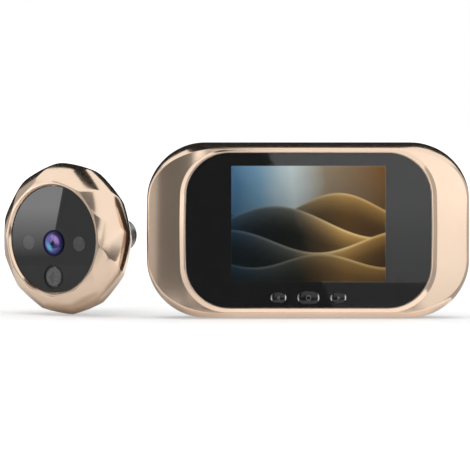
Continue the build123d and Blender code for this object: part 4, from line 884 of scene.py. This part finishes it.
def discCardStrength(tree):
    # along: distance on the card from the middle of what the disc shows. Bright where it is under
    # edgeStart + edgeSlope * height
    along = alongWay(tree, fromPoint(tree, discCard["middle"]), discCard["along"])
    _, _, height = partsOf(tree, objectPlace(tree))
    edge = calc(tree, "MULTIPLY_ADD", height, discCard["edgeSlope"], discCard["edgeStart"])
    inside = calc(tree, "LESS_THAN", along, edge)
    glow = calc(tree, "MULTIPLY", inside, rescale(tree, height, *discCard["fade"], 0.0, discCard["bright"]))
    return calc(tree, "ADD", glow, discCard["dark"])


def discCardCorner(end, height):
    (middleX, middleY, _), (alongX, alongY, _), reach = discCard["middle"], discCard["along"], discCard[end]
    return (middleX + reach * alongX, middleY + reach * alongY, height)


discCardCorners = [discCardCorner("from", 0.0), discCardCorner("to", 0.0),
                   discCardCorner("to", discCard["height"]), discCardCorner("from", discCard["height"])]
addCard("discCard", discCardCorners, discCardStrength)

# The world: a soft light, and white wherever it is seen
studio = {"colour": (1.0, 1.0, 1.0, 1.0), "light": 0.62, "seen": 1.0}


def setWorld():
    world = bpy.data.worlds.new("studio")
    bpy.context.scene.world = world
    world.use_nodes = True
    tree = world.node_tree
    tree.nodes.clear()
    shown = calc(tree, "MAXIMUM", *rayKinds(tree))
    soft = addNode(tree, "Background", {"Color": studio["colour"], "Strength": studio["light"]})
    white = addNode(tree, "Background", {"Color": studio["colour"], "Strength": studio["seen"]})
    mixed = addNode(tree, "MixShader", {0: shown, 1: soft.outputs[0], 2: white.outputs[0]})
    addNode(tree, "OutputWorld", {"Surface": mixed.outputs[0]})


setWorld()

# Lamps: a large soft box above, and a smaller one at the right. Neither shows in reflections
lamps = {
    "topBox": {"place": (0.0, -0.05, 1.2), "aim": (0.0, 0.0, 0.0), "size": 1.2, "power": 9.0},
    "rightBox": {"place": (1.0, -0.95, 0.85), "aim": (0.0, 0.0, 0.03), "size": 0.7, "power": 3.0},
}


def aimAt(thing, place, aim):
    direction = Vector(aim) - Vector(place)
    thing.location = place
    thing.rotation_euler = direction.to_track_quat("-Z", "Y").to_euler()


for name, lamp in lamps.items():
    light = bpy.data.lights.new(name, "AREA")
    light.size, light.energy = lamp["size"], lamp["power"]
    holder = addObject(name, light)
    holder.visible_glossy = False
    aimAt(holder, lamp["place"], lamp["aim"])

# Camera: far away with a long lens, a little above the pair
view = {"distance": 1.3, "rise": radians(2.6), "aim": (0.0003, -0.02, 0.0311), "frameWidth": 0.17766,
        "sensor": 36.0, "clipStart": 0.05}
cameraData = bpy.data.cameras.new("viewCamera")
cameraData.sensor_width = view["sensor"]
cameraData.lens = view["sensor"] * view["distance"] / view["frameWidth"]
cameraData.clip_start = view["clipStart"]
viewCamera = addObject("viewCamera", cameraData)
aimX, aimY, aimZ = view["aim"]
back, up = view["distance"] * cos(view["rise"]), view["distance"] * sin(view["rise"])
aimAt(viewCamera, (aimX, aimY - back, aimZ + up), view["aim"])
bpy.context.scene.camera = viewCamera
bpy.context.scene.view_settings.view_transform = "Standard"
print("stage, lights and camera made")
